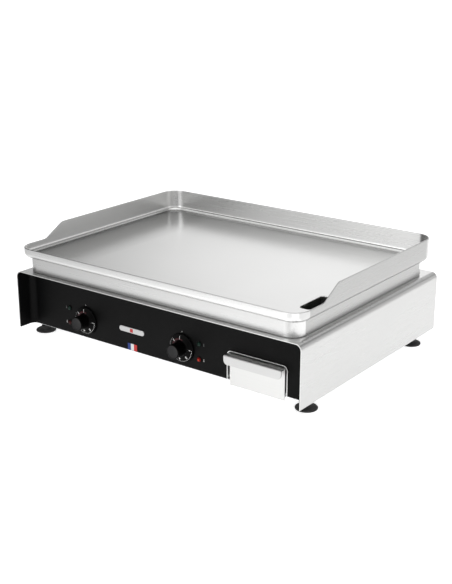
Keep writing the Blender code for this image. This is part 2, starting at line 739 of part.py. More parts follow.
def make_clamp(name, side):
    x_low, x_high = mirrored_x(CLAMP_X, side)
    clamp = block(name, (x_low, CLAMP_Y[0], CLAMP_TOP - CLAMP_THICKNESS),
                  (x_high, CLAMP_Y[1], CLAMP_TOP), ZINC)
    for i, y in enumerate(CLAMP_BOLT_Y):
        hole = rod_cutter("%s_hole_%d" % (name, i + 1), (side * CLAMP_BOLT_X, y, CLAMP_TOP),
                          CLAMP_HOLE_RADIUS, CUT_MARGIN, (0, 0, 1), 12)
        add_boolean(clamp, hole)
    return clamp


def make_clamp_bolt(name, x, y):
    """A hexagon head under the clamp and a shank that reaches up to the spreader."""
    head_top = CLAMP_TOP - CLAMP_THICKNESS - GAP
    shank_top = SPREADER_TOP - SPREADER_THICKNESS - GAP
    bm = bmesh.new()
    bmesh.ops.create_cone(bm, cap_ends=True, segments=6, radius1=BOLT_HEAD_RADIUS,
                          radius2=BOLT_HEAD_RADIUS, depth=BOLT_HEAD_HEIGHT,
                          matrix=Matrix.Translation((0, 0, -BOLT_HEAD_HEIGHT / 2)))
    head = add_object(name, mesh_of(name, bm), ZINC, location=(x, y, head_top))
    shank_length = shank_top - head_top + BOLT_HEAD_HEIGHT / 3
    shank = rod_cutter(name + "_shank", (x, y, shank_top - shank_length / 2), BOLT_SHANK_RADIUS,
                       shank_length, (0, 0, 1), 12)
    add_boolean(head, shank, "UNION")
    return head


def make_insulation(notch):
    mat = block("insulation_mat", (-INSULATION_X, INSULATION_Y[0], INSULATION_BOTTOM),
                (INSULATION_X, INSULATION_Y[1], INSULATION_TOP), INSULATION)
    add_boolean(mat, notch)
    return mat


def make_heat_shield(notch):
    shield = block("heat_shield", (-SHIELD_X, SHIELD_Y[0], SHIELD_BOTTOM),
                   (SHIELD_X, SHIELD_Y[1], SHIELD_BOTTOM + SHIELD_THICKNESS), ZINC)
    add_boolean(shield, notch)
    corners = outline_cutter("shield_corners",
                             rounded_rectangle((-SHIELD_X, SHIELD_Y[0]), (SHIELD_X, CASE_DEPTH),
                                               SKIRT_CORNER, 5),
                             CASE_TOP, XY_PLANE, (0, 0, CASE_TOP))
    add_boolean(shield, corners, "INTERSECT")
    return shield


def make_chute():
    """A sloping duct of rectangular section, open at both ends."""
    margin = CHUTE_CLEARANCE + CHUTE_WALL
    low = (SLOT_X[0] - margin, SLOT_Y[0] - margin, CHUTE_BOTTOM)
    high = (SLOT_X[1] + margin, SLOT_Y[1] + margin, SPREADER_TOP - 2 * GAP)
    bm = open_box(low, high, ("+Z", "-Z"))
    lower = [vert for vert in bm.verts if vert.co.z < CASE_TOP]
    bmesh.ops.translate(bm, verts=lower, vec=(CHUTE_SHIFT, 0, 0))
    chute = add_object("grease_chute", mesh_of("grease_chute", bm), BRUSHED)
    add_solidify(chute, CHUTE_WALL)
    return chute


def make_sensing_bulb(name, side, knob_x):
    """A bulb beside the element, with its thin tube running to the thermostat."""
    x = side * BULB_X
    z = SPREADER_TOP - SPREADER_THICKNESS - GAP - BULB_RADIUS
    bulb = [(x, BULB_Y[0], z), (x, BULB_Y[1], z)]
    drop = CAPILLARY_DROP
    thin = [(x, BULB_Y[1] + 0.004, z), (x, CAPILLARY_DROP_Y, z)]
    thin += [(x, y, height) for y, height in arc((CAPILLARY_DROP_Y, z - drop), drop, 90, 0, 4)]
    thin += [(x, 0.188, 0.128), (x, 0.180, 0.116), (x, 0.160, 0.112)]
    thin += [(x * 0.7 + knob_x * 0.3, 0.060, 0.110), (knob_x, -0.060, 0.104)]
    thin += [(knob_x, -0.130, 0.090), (knob_x, -0.152, 0.076), (knob_x, -0.162, 0.060)]
    thin += [(knob_x, PANEL_BACK_Y + THERMOSTAT_SIZE[1] + CAPILLARY_RADIUS, KNOB_Z)]
    radii = [BULB_RADIUS] * len(bulb) + [CAPILLARY_RADIUS] * len(thin)
    return tube(name, bulb + thin, BULB_RADIUS, COPPER, radii)


# ---------------------------------------------------------------- controls

def make_knob(name, x):
    """A round grip on a wide dial skirt, with a bore for the shaft and a raised index bar."""
    grip = KNOB_GRIP_RADIUS
    top = KNOB_HEIGHT
    skirt = KNOB_SKIRT_RADIUS
    profile = [(0.0, top - KNOB_DISH), (grip - 0.0034, top - KNOB_DISH), (grip - 0.0020, top)]
    profile += [(grip - 0.0008, top), (grip, top - 0.0010), (grip + 0.0008, 0.0070)]
    profile += [(grip + 0.0022, 0.0056), (skirt - 0.0018, 0.0040), (skirt, 0.0028)]
    profile += [(skirt, KNOB_BACK), (SHAFT_BORE_RADIUS, KNOB_BACK)]
    profile += [(SHAFT_BORE_RADIUS, SHAFT_BORE_END), (0.0, SHAFT_BORE_END)]
    knob = turned(name, profile, 32, KNOB_PLASTIC, (x, PANEL_FACE_Y, KNOB_Z), FACING_FRONT)
    bar_low = (x - INDEX_BAR_WIDTH / 2, PANEL_FACE_Y - INDEX_BAR_HEIGHTS[1],
               KNOB_Z + INDEX_BAR_RADII[0])
    bar_high = (x + INDEX_BAR_WIDTH / 2, PANEL_FACE_Y - INDEX_BAR_HEIGHTS[0],
                KNOB_Z + INDEX_BAR_RADII[1])
    add_boolean(knob, box_cutter(name + "_index_bar", bar_low, bar_high), "UNION")
    return knob


def make_thermostat(name, x):
    width, depth, height = THERMOSTAT_SIZE
    front = PANEL_BACK_Y + GAP
    body = block(name, (x - width / 2, front, KNOB_Z - height / 2),
                 (x + width / 2, front + depth, KNOB_Z + height / 2), WHITE_PLASTIC, 0.002)
    bore = rod_cutter(name + "_bore", (x, front, KNOB_Z), SHAFT_BORE_RADIUS, 2 * CUT_MARGIN,
                      (0, 1, 0), 16)
    add_boolean(body, bore)
    return body


def make_shaft(name, x):
    """The thermostat's turning shaft, from inside its body to inside the knob."""
    chamfer = 0.0004
    back = -(PANEL_SHEET + GAP + SHAFT_INSIDE)
    profile = [(0.0, SHAFT_END), (SHAFT_RADIUS - chamfer, SHAFT_END)]
    profile += [(SHAFT_RADIUS, SHAFT_END - chamfer), (SHAFT_RADIUS, back), (0.0, back)]
    return turned(name, profile, 16, ZINC, (x, PANEL_FACE_Y, KNOB_Z), FACING_FRONT)


def make_lamp(name, x, z, material):
    """A domed lens with a collar on the panel and a round body through its hole."""
    lens = LAMP_LENS_RADIUS
    profile = [(0.0, 0.0034), (lens * 0.45, 0.0031), (lens * 0.80, 0.0022), (lens, 0.0008)]
    profile += [(lens + LAMP_COLLAR, 0.0008), (lens + LAMP_COLLAR, GAP), (LAMP_BODY_RADIUS, GAP)]
    profile += [(LAMP_BODY_RADIUS, -LAMP_DEPTH), (0.0, -LAMP_DEPTH)]
    return turned(name, profile, 16, material, (x, PANEL_FACE_Y, z), FACING_FRONT)


def make_badge():
    width, height, thickness = BADGE_SIZE
    outline = rounded_rectangle((-width / 2, -height / 2), (width / 2, height / 2), BADGE_CORNER, 5)
    centre = (BADGE_X, PANEL_FACE_Y - GAP - thickness / 2, BADGE_Z)
    return outline_solid("badge_plate", outline, thickness, XZ_PLANE, centre, LABEL_FILM)


def make_label():
    width, height, thickness = LABEL_SIZE
    back = PANEL_FACE_Y - GAP
    return block("banded_label", (LABEL_X - width / 2, back - thickness, LABEL_BOTTOM),
                 (LABEL_X + width / 2, back, LABEL_BOTTOM + height), LABEL_FILM)


# ---------------------------------------------------------------- grease drawer

def make_surround():
    """Steel edging round the drawer's opening: an arch of strip, proud of the panel."""
    outer = drawer_opening_outline(OPENING_HALF, OPENING_TOP, OPENING_CORNER)
    middle_y = PANEL_FACE_Y - SURROUND_PROUD + SURROUND_DEPTH / 2
    arch = outline_solid("drawer_surround", outer, SURROUND_DEPTH, XZ_PLANE, (0, middle_y, 0), BRUSHED)
    inner = drawer_opening_outline(OPENING_HALF - SURROUND_WALL, OPENING_TOP - SURROUND_WALL,
                                   OPENING_CORNER - SURROUND_WALL)
    hollow = outline_cutter("surround_hollow", [(x, z - CUT_MARGIN if z < CASE_BOTTOM else z)
                                                for x, z in inner],
                            2 * SURROUND_DEPTH, XZ_PLANE, (0, middle_y, 0))
    add_boolean(arch, hollow)
    below = box_cutter("surround_foot", (0.0, CASE_FRONT, -CUT_MARGIN),
                       (CASE_SIDE, 0.0, CASE_BOTTOM))
    add_boolean(arch, below)
    return arch


def make_drawer_front():
    """One folded sheet: the front plate, a top flange running forward, and a lip turned down."""
    back_y = PANEL_FACE_Y + FRONT_SHEET
    lip_y = PANEL_FACE_Y - HANDLE_REACH
    fold = [(back_y, FRONT_BOTTOM), (back_y, HANDLE_TOP), (lip_y, HANDLE_TOP),
            (lip_y, HANDLE_TOP - HANDLE_DROP)]
    profile = rounded_path(fold, FOLD_RADIUS, 4)
    front = folded_sheet("drawer_front", profile, "X", DRAWER_X - HANDLE_HALF,
                         DRAWER_X + HANDLE_HALF, FRONT_SHEET, BRUSHED, 1.0)
    for side in (-1, 1):
        inner = DRAWER_X + side * FRONT_HALF
        outer = DRAWER_X + side * (HANDLE_HALF + CUT_MARGIN)
        low = (min(inner, outer), PANEL_FACE_Y - 0.002, 0.0)
        high = (max(inner, outer), PANEL_FACE_Y + 0.010, CASE_TOP)
        add_boolean(front, box_cutter("front_trim_%d" % (side + 2), low, high))
    corner = HANDLE_CORNER
    lip_bottom = HANDLE_TOP - HANDLE_DROP
    outline = [(DRAWER_X - HANDLE_HALF - 0.001, CASE_TOP), (DRAWER_X - HANDLE_HALF, 0.064)]
    outline += arc((DRAWER_X - HANDLE_HALF + corner, lip_bottom + corner), corner, 180, 270, 6)
    outline += arc((DRAWER_X + HANDLE_HALF - corner, lip_bottom + corner), corner, 270, 360, 6)
    outline += [(DRAWER_X + HANDLE_HALF, 0.064), (DRAWER_X + HANDLE_HALF + 0.001, CASE_TOP)]
    return front, outline


def round_lip_corners(front, outline):
    """Rounds the two lower corners of the lip, leaving the plate behind it whole."""
    frame = [(DRAWER_X - 0.09, 0.0), (DRAWER_X + 0.09, 0.0), (DRAWER_X + 0.09, 0.060),
             (DRAWER_X - 0.09, 0.060)]
    depth = 0.006
    centre = (0, PANEL_FACE_Y - HANDLE_REACH, 0)
    outer = outline_cutter("lip_frame", frame, depth, XZ_PLANE, centre)
    inner = outline_cutter("lip_shape", outline, 2 * depth, XZ_PLANE, centre)
    add_boolean(outer, inner)
    add_boolean(front, outer)


def make_tray():
    low = (DRAWER_X - TRAY_HALF, PANEL_FACE_Y + FRONT_SHEET + GAP, TRAY_BOTTOM)
    high = (DRAWER_X + TRAY_HALF, TRAY_BACK, TRAY_TOP)
    bm = open_box(low, high, ("+Z",))
    round_edges(bm, upright_edges(bm), TRAY_CORNER, 3)
    round_edges(bm, bottom_edges(bm, TRAY_BOTTOM), TRAY_CORNER * 0.75, 2)
    for side in (-1, 1):
        edges = [edge for edge in bm.edges
                 if all(abs(v.co.z - TRAY_TOP) < MERGE for v in edge.verts)
                 and all(abs(v.co.x - DRAWER_X - side * TRAY_HALF) < MERGE for v in edge.verts)]
        grown = bmesh.ops.extrude_edge_only(bm, edges=edges)
        verts = [item for item in grown["geom"] if isinstance(item, bmesh.types.BMVert)]
        bmesh.ops.translate(bm, verts=verts, vec=(side * TRAY_FLANGE, 0, 0))
    tray = add_object("drawer_tray", mesh_of("drawer_tray", bm), BRUSHED)
    add_solidify(tray, TRAY_SHEET)
    return tray


def make_rail(name, side):
    """A rail standing on the base pan, whose channel holds the flange of the tray."""
    sheet = RAIL_SHEET
    foot = CASE_BOTTOM
    ledge = TRAY_TOP - GAP
    cover = TRAY_TOP + TRAY_SHEET + RAIL_PLAY
    outline = [(RAIL_WEB + RAIL_FOOT, foot), (RAIL_WEB + RAIL_FOOT, foot + sheet)]
    outline += [(RAIL_WEB + sheet, foot + sheet), (RAIL_WEB + sheet, cover + sheet)]
    outline += [(RAIL_LEDGE_IN, cover + sheet), (RAIL_LEDGE_IN, cover), (RAIL_WEB, cover)]
    outline += [(RAIL_WEB, ledge), (RAIL_LEDGE_IN, ledge), (RAIL_LEDGE_IN, ledge - sheet)]
    outline += [(RAIL_WEB, ledge - sheet), (RAIL_WEB, foot)]
    outline = [(side * x, z) for x, z in outline]
    centre = (DRAWER_X, (RAIL_Y[0] + RAIL_Y[1]) / 2, 0)
    return outline_solid(name, outline, RAIL_Y[1] - RAIL_Y[0], XZ_PLANE, centre, ZINC)


# ---------------------------------------------------------------- feet, supply and fasteners

def foot_places():
    places = []
    for end, y in zip(("front", "rear"), FOOT_Y):
        for side, x in (("left", -FOOT_X), ("right", FOOT_X)):
            places.append((end + "_" + side, x, y))
    return places


def make_foot(name, x, y):
    """A pad with a socket for its stud, the threaded stud, and the lock nut on the base pan."""
    pad = PAD_RADIUS
    profile = [(0.0, SOCKET_FLOOR), (SOCKET_RADIUS, SOCKET_FLOOR), (SOCKET_RADIUS, PAD_HEIGHT)]
    profile += [(0.0076, PAD_HEIGHT), (0.0086, PAD_HEIGHT - 0.0010), (0.0098, 0.0058)]
    profile += [(pad - 0.0024, 0.0040), (pad - 0.0006, 0.0030)]
    profile += [(pad, 0.0016), (pad, 0.0006), (pad - 0.0006, 0.0), (0.0, 0.0)]
    turned("foot_pad_" + name, profile, 20, FOOT_PLASTIC, (x, y, 0))
    stud = [(0.0, STUD_TOP), (STUD_RADIUS - STUD_CHAMFER, STUD_TOP)]
    stud += [(STUD_RADIUS, STUD_TOP - STUD_CHAMFER), (STUD_RADIUS, STUD_BOTTOM), (0.0, STUD_BOTTOM)]
    shank = turned("foot_stud_" + name, stud, 12, ZINC, (x, y, 0))
    slot_width, slot_depth = STUD_SLOT
    slot_low = (x - slot_width / 2, y - 2 * STUD_RADIUS, STUD_TOP - slot_depth)
    slot_high = (x + slot_width / 2, y + 2 * STUD_RADIUS, STUD_TOP + slot_depth)
    add_boolean(shank, box_cutter("stud_slot_" + name, slot_low, slot_high))
    bm = bmesh.new()
    corner_radius = NUT_ACROSS_FLATS / math.sqrt(3)
    bmesh.ops.create_cone(bm, cap_ends=True, segments=6, radius1=corner_radius,
                          radius2=corner_radius, depth=NUT_HEIGHT)
    nut_z = BASE_TOP + GAP + NUT_HEIGHT / 2
    nut = add_object("foot_nut_" + name, mesh_of("foot_nut_" + name, bm), ZINC,
                     location=(x, y, nut_z))
    add_boolean(nut, rod_cutter("nut_bore_" + name, (x, y, nut_z), STUD_RADIUS + GAP,
                                2 * NUT_HEIGHT, (0, 0, 1), 16))


def make_gland():
    """The supply inlet: a hollow gland through the rear panel and its nut inside."""
    collar = GLAND_COLLAR_RADIUS
    bore = GLAND_BORE_RADIUS
    thread = GLAND_THREAD_RADIUS
    profile = [(bore, GLAND_REACH), (0.0085, GLAND_REACH), (0.0112, 0.0150), (0.0120, 0.0060)]
    profile += [(collar, 0.0056), (collar, GAP), (thread, GAP), (thread, GLAND_THREAD_END)]
    profile += [(bore, GLAND_THREAD_END), (bore, GLAND_REACH)]
    place = (GLAND_X, REAR_FACE_Y, GLAND_Z)
    turned("cable_gland", profile, 18, FOOT_PLASTIC, place, FACING_BACK)
    nut_inner = thread + GAP
    top, bottom = GLAND_NUT_Y
    nut = [(nut_inner, top), (GLAND_NUT_RADIUS, top), (GLAND_NUT_RADIUS, bottom)]
    nut += [(nut_inner, bottom), (nut_inner, top)]
    turned("gland_nut", nut, 18, ZINC, place, FACING_BACK)


def make_terminal_block():
    width, depth, height = TERMINAL_BLOCK_SIZE
    x, y, z = TERMINAL_BLOCK_PLACE
    item = block("terminal_block", (x - width / 2, y - depth / 2, z - height / 2),
                 (x + width / 2, y + depth / 2, z + height / 2), WHITE_PLASTIC, 0.0015)
    for i in range(TERMINAL_WELLS):
        well_x = x + (i - (TERMINAL_WELLS - 1) / 2) * TERMINAL_PITCH
        add_boolean(item, rod_cutter("terminal_well_%d" % (i + 1), (well_x, y, z + height / 2),
                                     TERMINAL_WELL_RADIUS, CUT_MARGIN, (0, 0, 1), 10))
    return item


def make_loom(name, x):
    """The sleeved wires from the terminal block to one thermostat."""
    block_x, block_y, block_z = TERMINAL_BLOCK_PLACE
    start_y = block_y - TERMINAL_BLOCK_SIZE[1] / 2 - LOOM_END_GAP
    back_y = PANEL_BACK_Y + GAP + THERMOSTAT_SIZE[1] + LOOM_END_GAP
    offset = LOOM_OFFSET if x > 0 else -LOOM_OFFSET
    middle = (block_x + x) / 2
    points = [(block_x + offset, start_y, block_z), (block_x + offset, start_y - 0.012, block_z)]
    points += [(block_x + offset, start_y - 0.030, 0.0300), (middle, 0.0, 0.0260)]
    points += [(x, back_y + 0.070, 0.0260), (x, back_y + 0.024, 0.0300)]
    points += [(x, back_y + 0.008, 0.0370), (x, back_y, 0.0400)]
    return tube(name, points, LOOM_RADIUS, LOOM_SLEEVE)


def make_rear_screw(name, x):
    """A pan-head screw through the rear panel into the turned-up edge of the base pan."""
    head = REAR_SCREW_HEAD
    profile = [(0.0, 0.0024), (head * 0.6, 0.0021), (head, 0.0010), (head, GAP)]
    profile += [(REAR_SCREW_RADIUS, GAP), (REAR_SCREW_RADIUS, -REAR_SCREW_DEPTH)]
    profile += [(0.0, -REAR_SCREW_DEPTH)]
    return turned(name, profile, 10, ZINC, (x, REAR_FACE_Y, REAR_SCREW_Z), FACING_BACK)


# ---------------------------------------------------------------- assembly

def build():
    make_casing()
    inside = make_casing_inside()
    make_front_panel(inside)
    make_rear_panel(inside)
    make_base_pan()

    make_griddle_plate()
    make_skirt()
    notch = make_chute_notch("chute_notch")
    make_chute()
    for name, side, knob_x in (("left", -1, KNOB_X[0]), ("right", 1, KNOB_X[1])):
        make_spreader("spreader_" + name, side, notch)
        make_element("element_" + name, side)
        make_clamp("element_clamp_" + name, side)
        for end, y in zip(("front", "rear"), CLAMP_BOLT_Y):
            make_clamp_bolt("clamp_bolt_%s_%s" % (end, name), side * CLAMP_BOLT_X, y)
        make_sensing_bulb("sensing_bulb_" + name, side, knob_x)
    make_insulation(notch)
    make_heat_shield(notch)

    for name, x, lamp_x in (("left", KNOB_X[0], LAMP_X[0]), ("right", KNOB_X[1], LAMP_X[1])):
        make_knob("knob_" + name, x)
        make_shaft("thermostat_shaft_" + name, x)
        make_thermostat("thermostat_" + name, x)
        make_loom("loom_" + name, x)
        make_lamp("lamp_green_" + name, lamp_x, LAMP_GREEN_Z, GREEN_LENS)
        make_lamp("lamp_red_" + name, lamp_x, LAMP_RED_Z, RED_LENS)
    make_badge()
    make_label()

    make_surround()
    drawer_front, lip_outline = make_drawer_front()
    round_lip_corners(drawer_front, lip_outline)
    make_tray()
    make_rail("drawer_rail_left", -1)
    make_rail("drawer_rail_right", 1)

    for name, x, y in foot_places():
        make_foot(name, x, y)
    make_gland()
    make_terminal_block()
    for i, x in enumerate(REAR_SCREW_X):
        make_rear_screw("rear_screw_%d" % (i + 1), x)


build()
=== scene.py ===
"""Looks of the flat top griddle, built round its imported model.

Every length is in metres in the model's own frame: X across the front, Y from the front to the
back, Z up from the floor. The pieces made here stand for the plain CAD nodes that they name.
"""
import math

import bmesh
import bpy
from mathutils import Matrix, Vector


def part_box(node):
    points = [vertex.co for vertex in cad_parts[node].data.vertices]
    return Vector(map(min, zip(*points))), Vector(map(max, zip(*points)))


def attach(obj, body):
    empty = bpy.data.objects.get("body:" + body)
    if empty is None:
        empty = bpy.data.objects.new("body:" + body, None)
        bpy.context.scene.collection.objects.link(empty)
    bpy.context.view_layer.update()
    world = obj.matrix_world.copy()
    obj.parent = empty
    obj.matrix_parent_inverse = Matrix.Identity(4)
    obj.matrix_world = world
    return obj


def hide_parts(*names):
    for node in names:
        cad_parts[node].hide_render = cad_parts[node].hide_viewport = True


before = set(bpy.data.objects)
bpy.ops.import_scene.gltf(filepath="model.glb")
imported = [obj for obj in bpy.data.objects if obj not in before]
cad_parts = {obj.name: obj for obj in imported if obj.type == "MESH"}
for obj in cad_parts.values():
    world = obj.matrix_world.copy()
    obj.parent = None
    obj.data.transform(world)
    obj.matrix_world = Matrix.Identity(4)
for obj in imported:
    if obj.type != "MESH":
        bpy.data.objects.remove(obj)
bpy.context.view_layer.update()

# ---- dimensions

WELD = 0.000002
MARGIN = 0.01
GAP = 0.0003
EDGE = 0.00035
SHARP_ANGLE = math.radians(35)
BEVEL_ANGLE = math.radians(38)
FLAT_SIDE = 0.999
LEVEL_FACE = 0.75

SHEET = 0.0015
CASE_BEND = 0.012
CASE_FLANGE = 0.009
CASE_OPENING_INSET = 0.0227
CASE_OPENING_CORNER = 0.016

PANEL_SHEET = 0.0012
PANEL_BEND = 0.0142

PLATE_SHEET = 0.0025
PLATE_BEND = 0.011
PLATE_CORNER = 0.032
PLATE_RIM = 0.0010
PLATE_FLAT = 0.004
LIP_TOP = 0.1828
SLOPE_Y = (-0.165, -0.119)
SLOPE_FOOT_RADIUS = 0.020
SLOPE_TOP_RADIUS = 0.010
SLOT_LOW = Vector((0.274, -0.167))
SLOT_HIGH = Vector((0.298, -0.091))
SLOT_CORNER = 0.008
SLOT_EDGE = 0.0007
SLOT_MARGIN = 0.003

SKIRT_CORNER = 0.028
SKIRT_FLANGE = 0.0117
SKIRT_BEND = 0.0022

KNOB_SHAFT_HOLE = 0.0045
KNOB_SKIRT = 0.0275
KNOB_GRIP = 0.0136
KNOB_HEIGHT = 0.0278
KNOB_BACK = 0.0010
KNOB_BORE = 0.0034
KNOB_BORE_END = 0.0150
SKIRT_INNER = (KNOB_GRIP + 0.0022, 0.0056)
SKIRT_OUTER = (KNOB_SKIRT - 0.0018, 0.0040)
DASH_START, DASH_SPAN, DASH_LENGTH = 90, 225, 3.0
DASH_RADIUS = 0.0246
DASH_WIDTH = (0.0009, 0.0004)
NUMERAL_RADIUS = 0.0196
NUMERAL_SIZE = 0.0066
NUMERAL_BOLDNESS = 0.00028
DIAL_DASHES = 30
# Strips of ink on the dial: inner and outer radius, then first and last angle in degrees.
POINTER = (0.0172, 0.0232, -6.4, -3.8)
RED_BAND = (0.0160, 0.0184, -118, 16)
RED_LINE = (0.0186, 0.0191, -104, -8)
NUMERAL_ANGLES = (310, 270, 228, 186, 140, 90)
LAMP_HOLE = 0.0048
LAMP_LENS = 0.0042
LAMP_COLLAR = 0.0056
LAMP_HEART = 0.5
MARK_HALF = 0.0003
TICK = (0.0290, 0.0318)
SYMBOL_SHIFT = {"left": -0.0090, "right": 0.0102}

DRAWER_WALL = 0.0015
OPENING_CORNER = 0.009
FRONT_HALF = 0.0575
HANDLE_CORNER = 0.008
HANDLE_DROP = 0.0170
FOLD_RADIUS = 0.0022

STUD_PITCH = 0.00125
STUD_THREAD = 0.0006
PRINT = 0.00006

# Camera, in the model's own frame.
CAMERA_PLACE = (1.19221, -1.59437, 0.76446)
CAMERA_AZIMUTH = math.radians(36.5975)
CAMERA_PITCH = math.radians(18.6982)
CAMERA_ROLL = math.radians(0.13)
CAMERA_LENS = 66.297
CAMERA_SHIFT = (-0.0068, 0.0011)

# Studio: a bright band low round the walls, with one dark side, and a bright ceiling. Each glow and
# the dark side hold a direction, an inner and an outer angle in degrees, and a strength. Each dim
# zone of the floor holds its centre, two radii, and how dim it is inside the first and past the second.
BAND_LIGHT = 0.80
WALL_LIGHT = 0.12
BAND_TOP = (0.25, 0.62)
DARK_SIDE = ((-0.97, -0.21, 0.12), 36, 64, 1.0)
DARK_SIDE_LIGHT = 0.22
WALL_GLOWS = [((-0.40, 0.88, 0.20), 5, 36, 0.20), ((-0.43, 0.81, 0.41), 2, 18, 0.55),
              ((-0.56, -0.32, 0.76), 5, 13, 0.60), ((-0.22, -0.94, 0.22), 12, 30, 1.15),
              ((0.95, 0.15, 0.30), 5, 20, 0.55), ((0.08, 0.76, 0.62), 4, 11, 0.55),
              ((0.0, 0.0, 1.0), 10, 50, 0.95)]
KEY_FROM = (0.50, -0.60, 1.10)
KEY_STRENGTH = 0.6
KEY_SOFTNESS = 60
FLOOR_GLOW = 0.66
FLOOR_LEVEL = -0.0002
POOL_LEVEL = 0.0004
DIM_LIGHT = 0.60
DIM_ZONES = [((1.10, 0.00), (1.05, 1.95), 0.0, 1.0), ((0.36, -0.66), (0.07, 0.22), 0.95, 0.0)]
WHITE = (1.0, 1.0, 1.0, 1.0)

plate_low, plate_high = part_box("griddle_plate")
skirt_low, skirt_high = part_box("plate_skirt")
case_low, case_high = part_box("casing_shell")
panel_low, panel_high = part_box("front_panel")
rear_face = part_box("rear_panel")[1].y
base_low, base_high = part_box("base_pan")
front_low, front_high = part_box("drawer_front")
arch_low, arch_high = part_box("drawer_surround")
badge_low, badge_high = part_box("badge_plate")
label_low, label_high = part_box("banded_label")
gland_low, gland_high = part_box("cable_gland")

PANEL_FACE = panel_high.y - PANEL_SHEET
PLATE_TOP = plate_low.z + PLATE_SHEET
WALL_TOP = plate_high.z
CASE_INSIDE = case_high.x - SHEET - GAP / 3
DRAWER_X = (front_low.x + front_high.x) / 2
SIDES = ("left", "right")
FEET = ("front_left", "front_right", "rear_left", "rear_right")


def middle(node):
    low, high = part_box(node)
    return (low + high) / 2


# ---- shader tools

def add_node(tree, kind, inputs=(), **settings):
    """A shader node with its settings; inputs gives sockets a link or a value."""
    node = tree.nodes.new("ShaderNode" + kind)
    for name, value in settings.items():
        setattr(node, name, value)
    for name, value in dict(inputs).items():
        if isinstance(value, bpy.types.NodeSocket):
            tree.links.new(value, node.inputs[name])
        else:
            node.inputs[name].default_value = value
    return node


def span(tree, value, low, high, low_in=0.3, high_in=0.7, interpolation="LINEAR"):
    """The value, spread from low_in..high_in to low..high."""
    ends = {"Value": value, "From Min": low_in, "From Max": high_in, "To Min": low, "To Max": high}
    return add_node(tree, "MapRange", ends, interpolation_type=interpolation).outputs["Result"]


def calculate(tree, operation, first, second):
    return add_node(tree, "Math", {0: first, 1: second}, operation=operation).outputs["Value"]


class Finish:
    """A material with one Principled BSDF and short calls for the nodes that feed it."""

    def __init__(self, name, roughness, metallic=0.0, specular=0.5):
        self.material = bpy.data.materials.new(name)
        self.material.use_nodes = True
        self.tree = self.material.node_tree
        self.shader = self.tree.nodes["Principled BSDF"]
        self.set("Roughness", roughness)
        self.set("Metallic", metallic)
        self.set("Specular IOR Level", specular)
        self.place = add_node(self.tree, "TexCoord").outputs["Object"]

    def set(self, socket, value):
        self.shader.inputs[socket].default_value = value

    def link(self, source, socket):
        self.tree.links.new(source, self.shader.inputs[socket])

    def texture(self, kind, output, stretch, **values):
        """A texture that is stretched along an axis where that axis' share of the scale is small."""
        mapping = add_node(self.tree, "Mapping", {"Vector": self.place, "Scale": stretch})
        values["Vector"] = mapping.outputs["Vector"]
        return add_node(self.tree, "Tex" + kind, values).outputs[output]

    def noise(self, scale, stretch=(1, 1, 1), detail=4.0, roughness=0.6):
        return self.texture("Noise", "Fac", stretch, Scale=scale, Detail=detail, Roughness=roughness)

    def cells(self, scale, stretch=(1, 1, 1)):
        return self.texture("Voronoi", "Distance", stretch, Scale=scale)

    def span(self, *values):
        return span(self.tree, *values)

    def blend(self, factor, first, second):
        """Between two colours, each a colour or another node's output."""
        node = add_node(self.tree, "Mix", {"Factor": factor}, data_type="RGBA")
        for name, value in (("A", first), ("B", second)):
            socket = next(s for s in node.inputs if s.name == name and s.type == "RGBA")
            if isinstance(value, tuple):
                socket.default_value = (*value, 1.0)
            else:
                self.tree.links.new(value, socket)
        return next(s for s in node.outputs if s.type == "RGBA")

    def add(self, first, second, share=0.5):
        """A weighted sum of two values."""
        values = {"Factor": share, "A": first, "B": second}
        return add_node(self.tree, "Mix", values, data_type="FLOAT").outputs["Result"]

    def edges(self, low, high):
        """Near 1 on the object's outer edges, and 0 on its flats."""
        geometry = add_node(self.tree, "NewGeometry")
        return self.span(geometry.outputs["Pointiness"], 0.0, 1.0, low, high)

    def dapple(self, texture, dark, light, low_in=0.3, high_in=0.7):
        """A colour that follows a texture from dark to light."""
        return self.blend(self.span(texture, 0.0, 1.0, low_in, high_in), dark, light)

    def colour(self, source):
        self.link(source, "Base Color")

    def roughness(self, source, *values):
        self.link(self.span(source, *values), "Roughness")

    def bump(self, height, strength, distance):
        values = {"Height": height, "Strength": strength, "Distance": distance}
        self.link(add_node(self.tree, "Bump", values).outputs["Normal"], "Normal")

    def coat(self, texture, dark, light, roughness, relief, ends=(0.3, 0.7)):
        """Colour, roughness and relief that all follow one texture."""
        self.colour(self.dapple(texture, dark, light, *ends))
        self.roughness(texture, *roughness, *ends)
        self.bump(texture, *relief)
        return self.material


AXES = "XYZ"
GRAIN_SHARE = 0.004
FINEST_GRAIN, COARSE_GRAIN = 2200, 600
# Colour of the painted shade laid on the steel beside the plate's walls.
PAINTED_SHADE_TINT = (0.10, 0.10, 0.10)
grain_of = {}


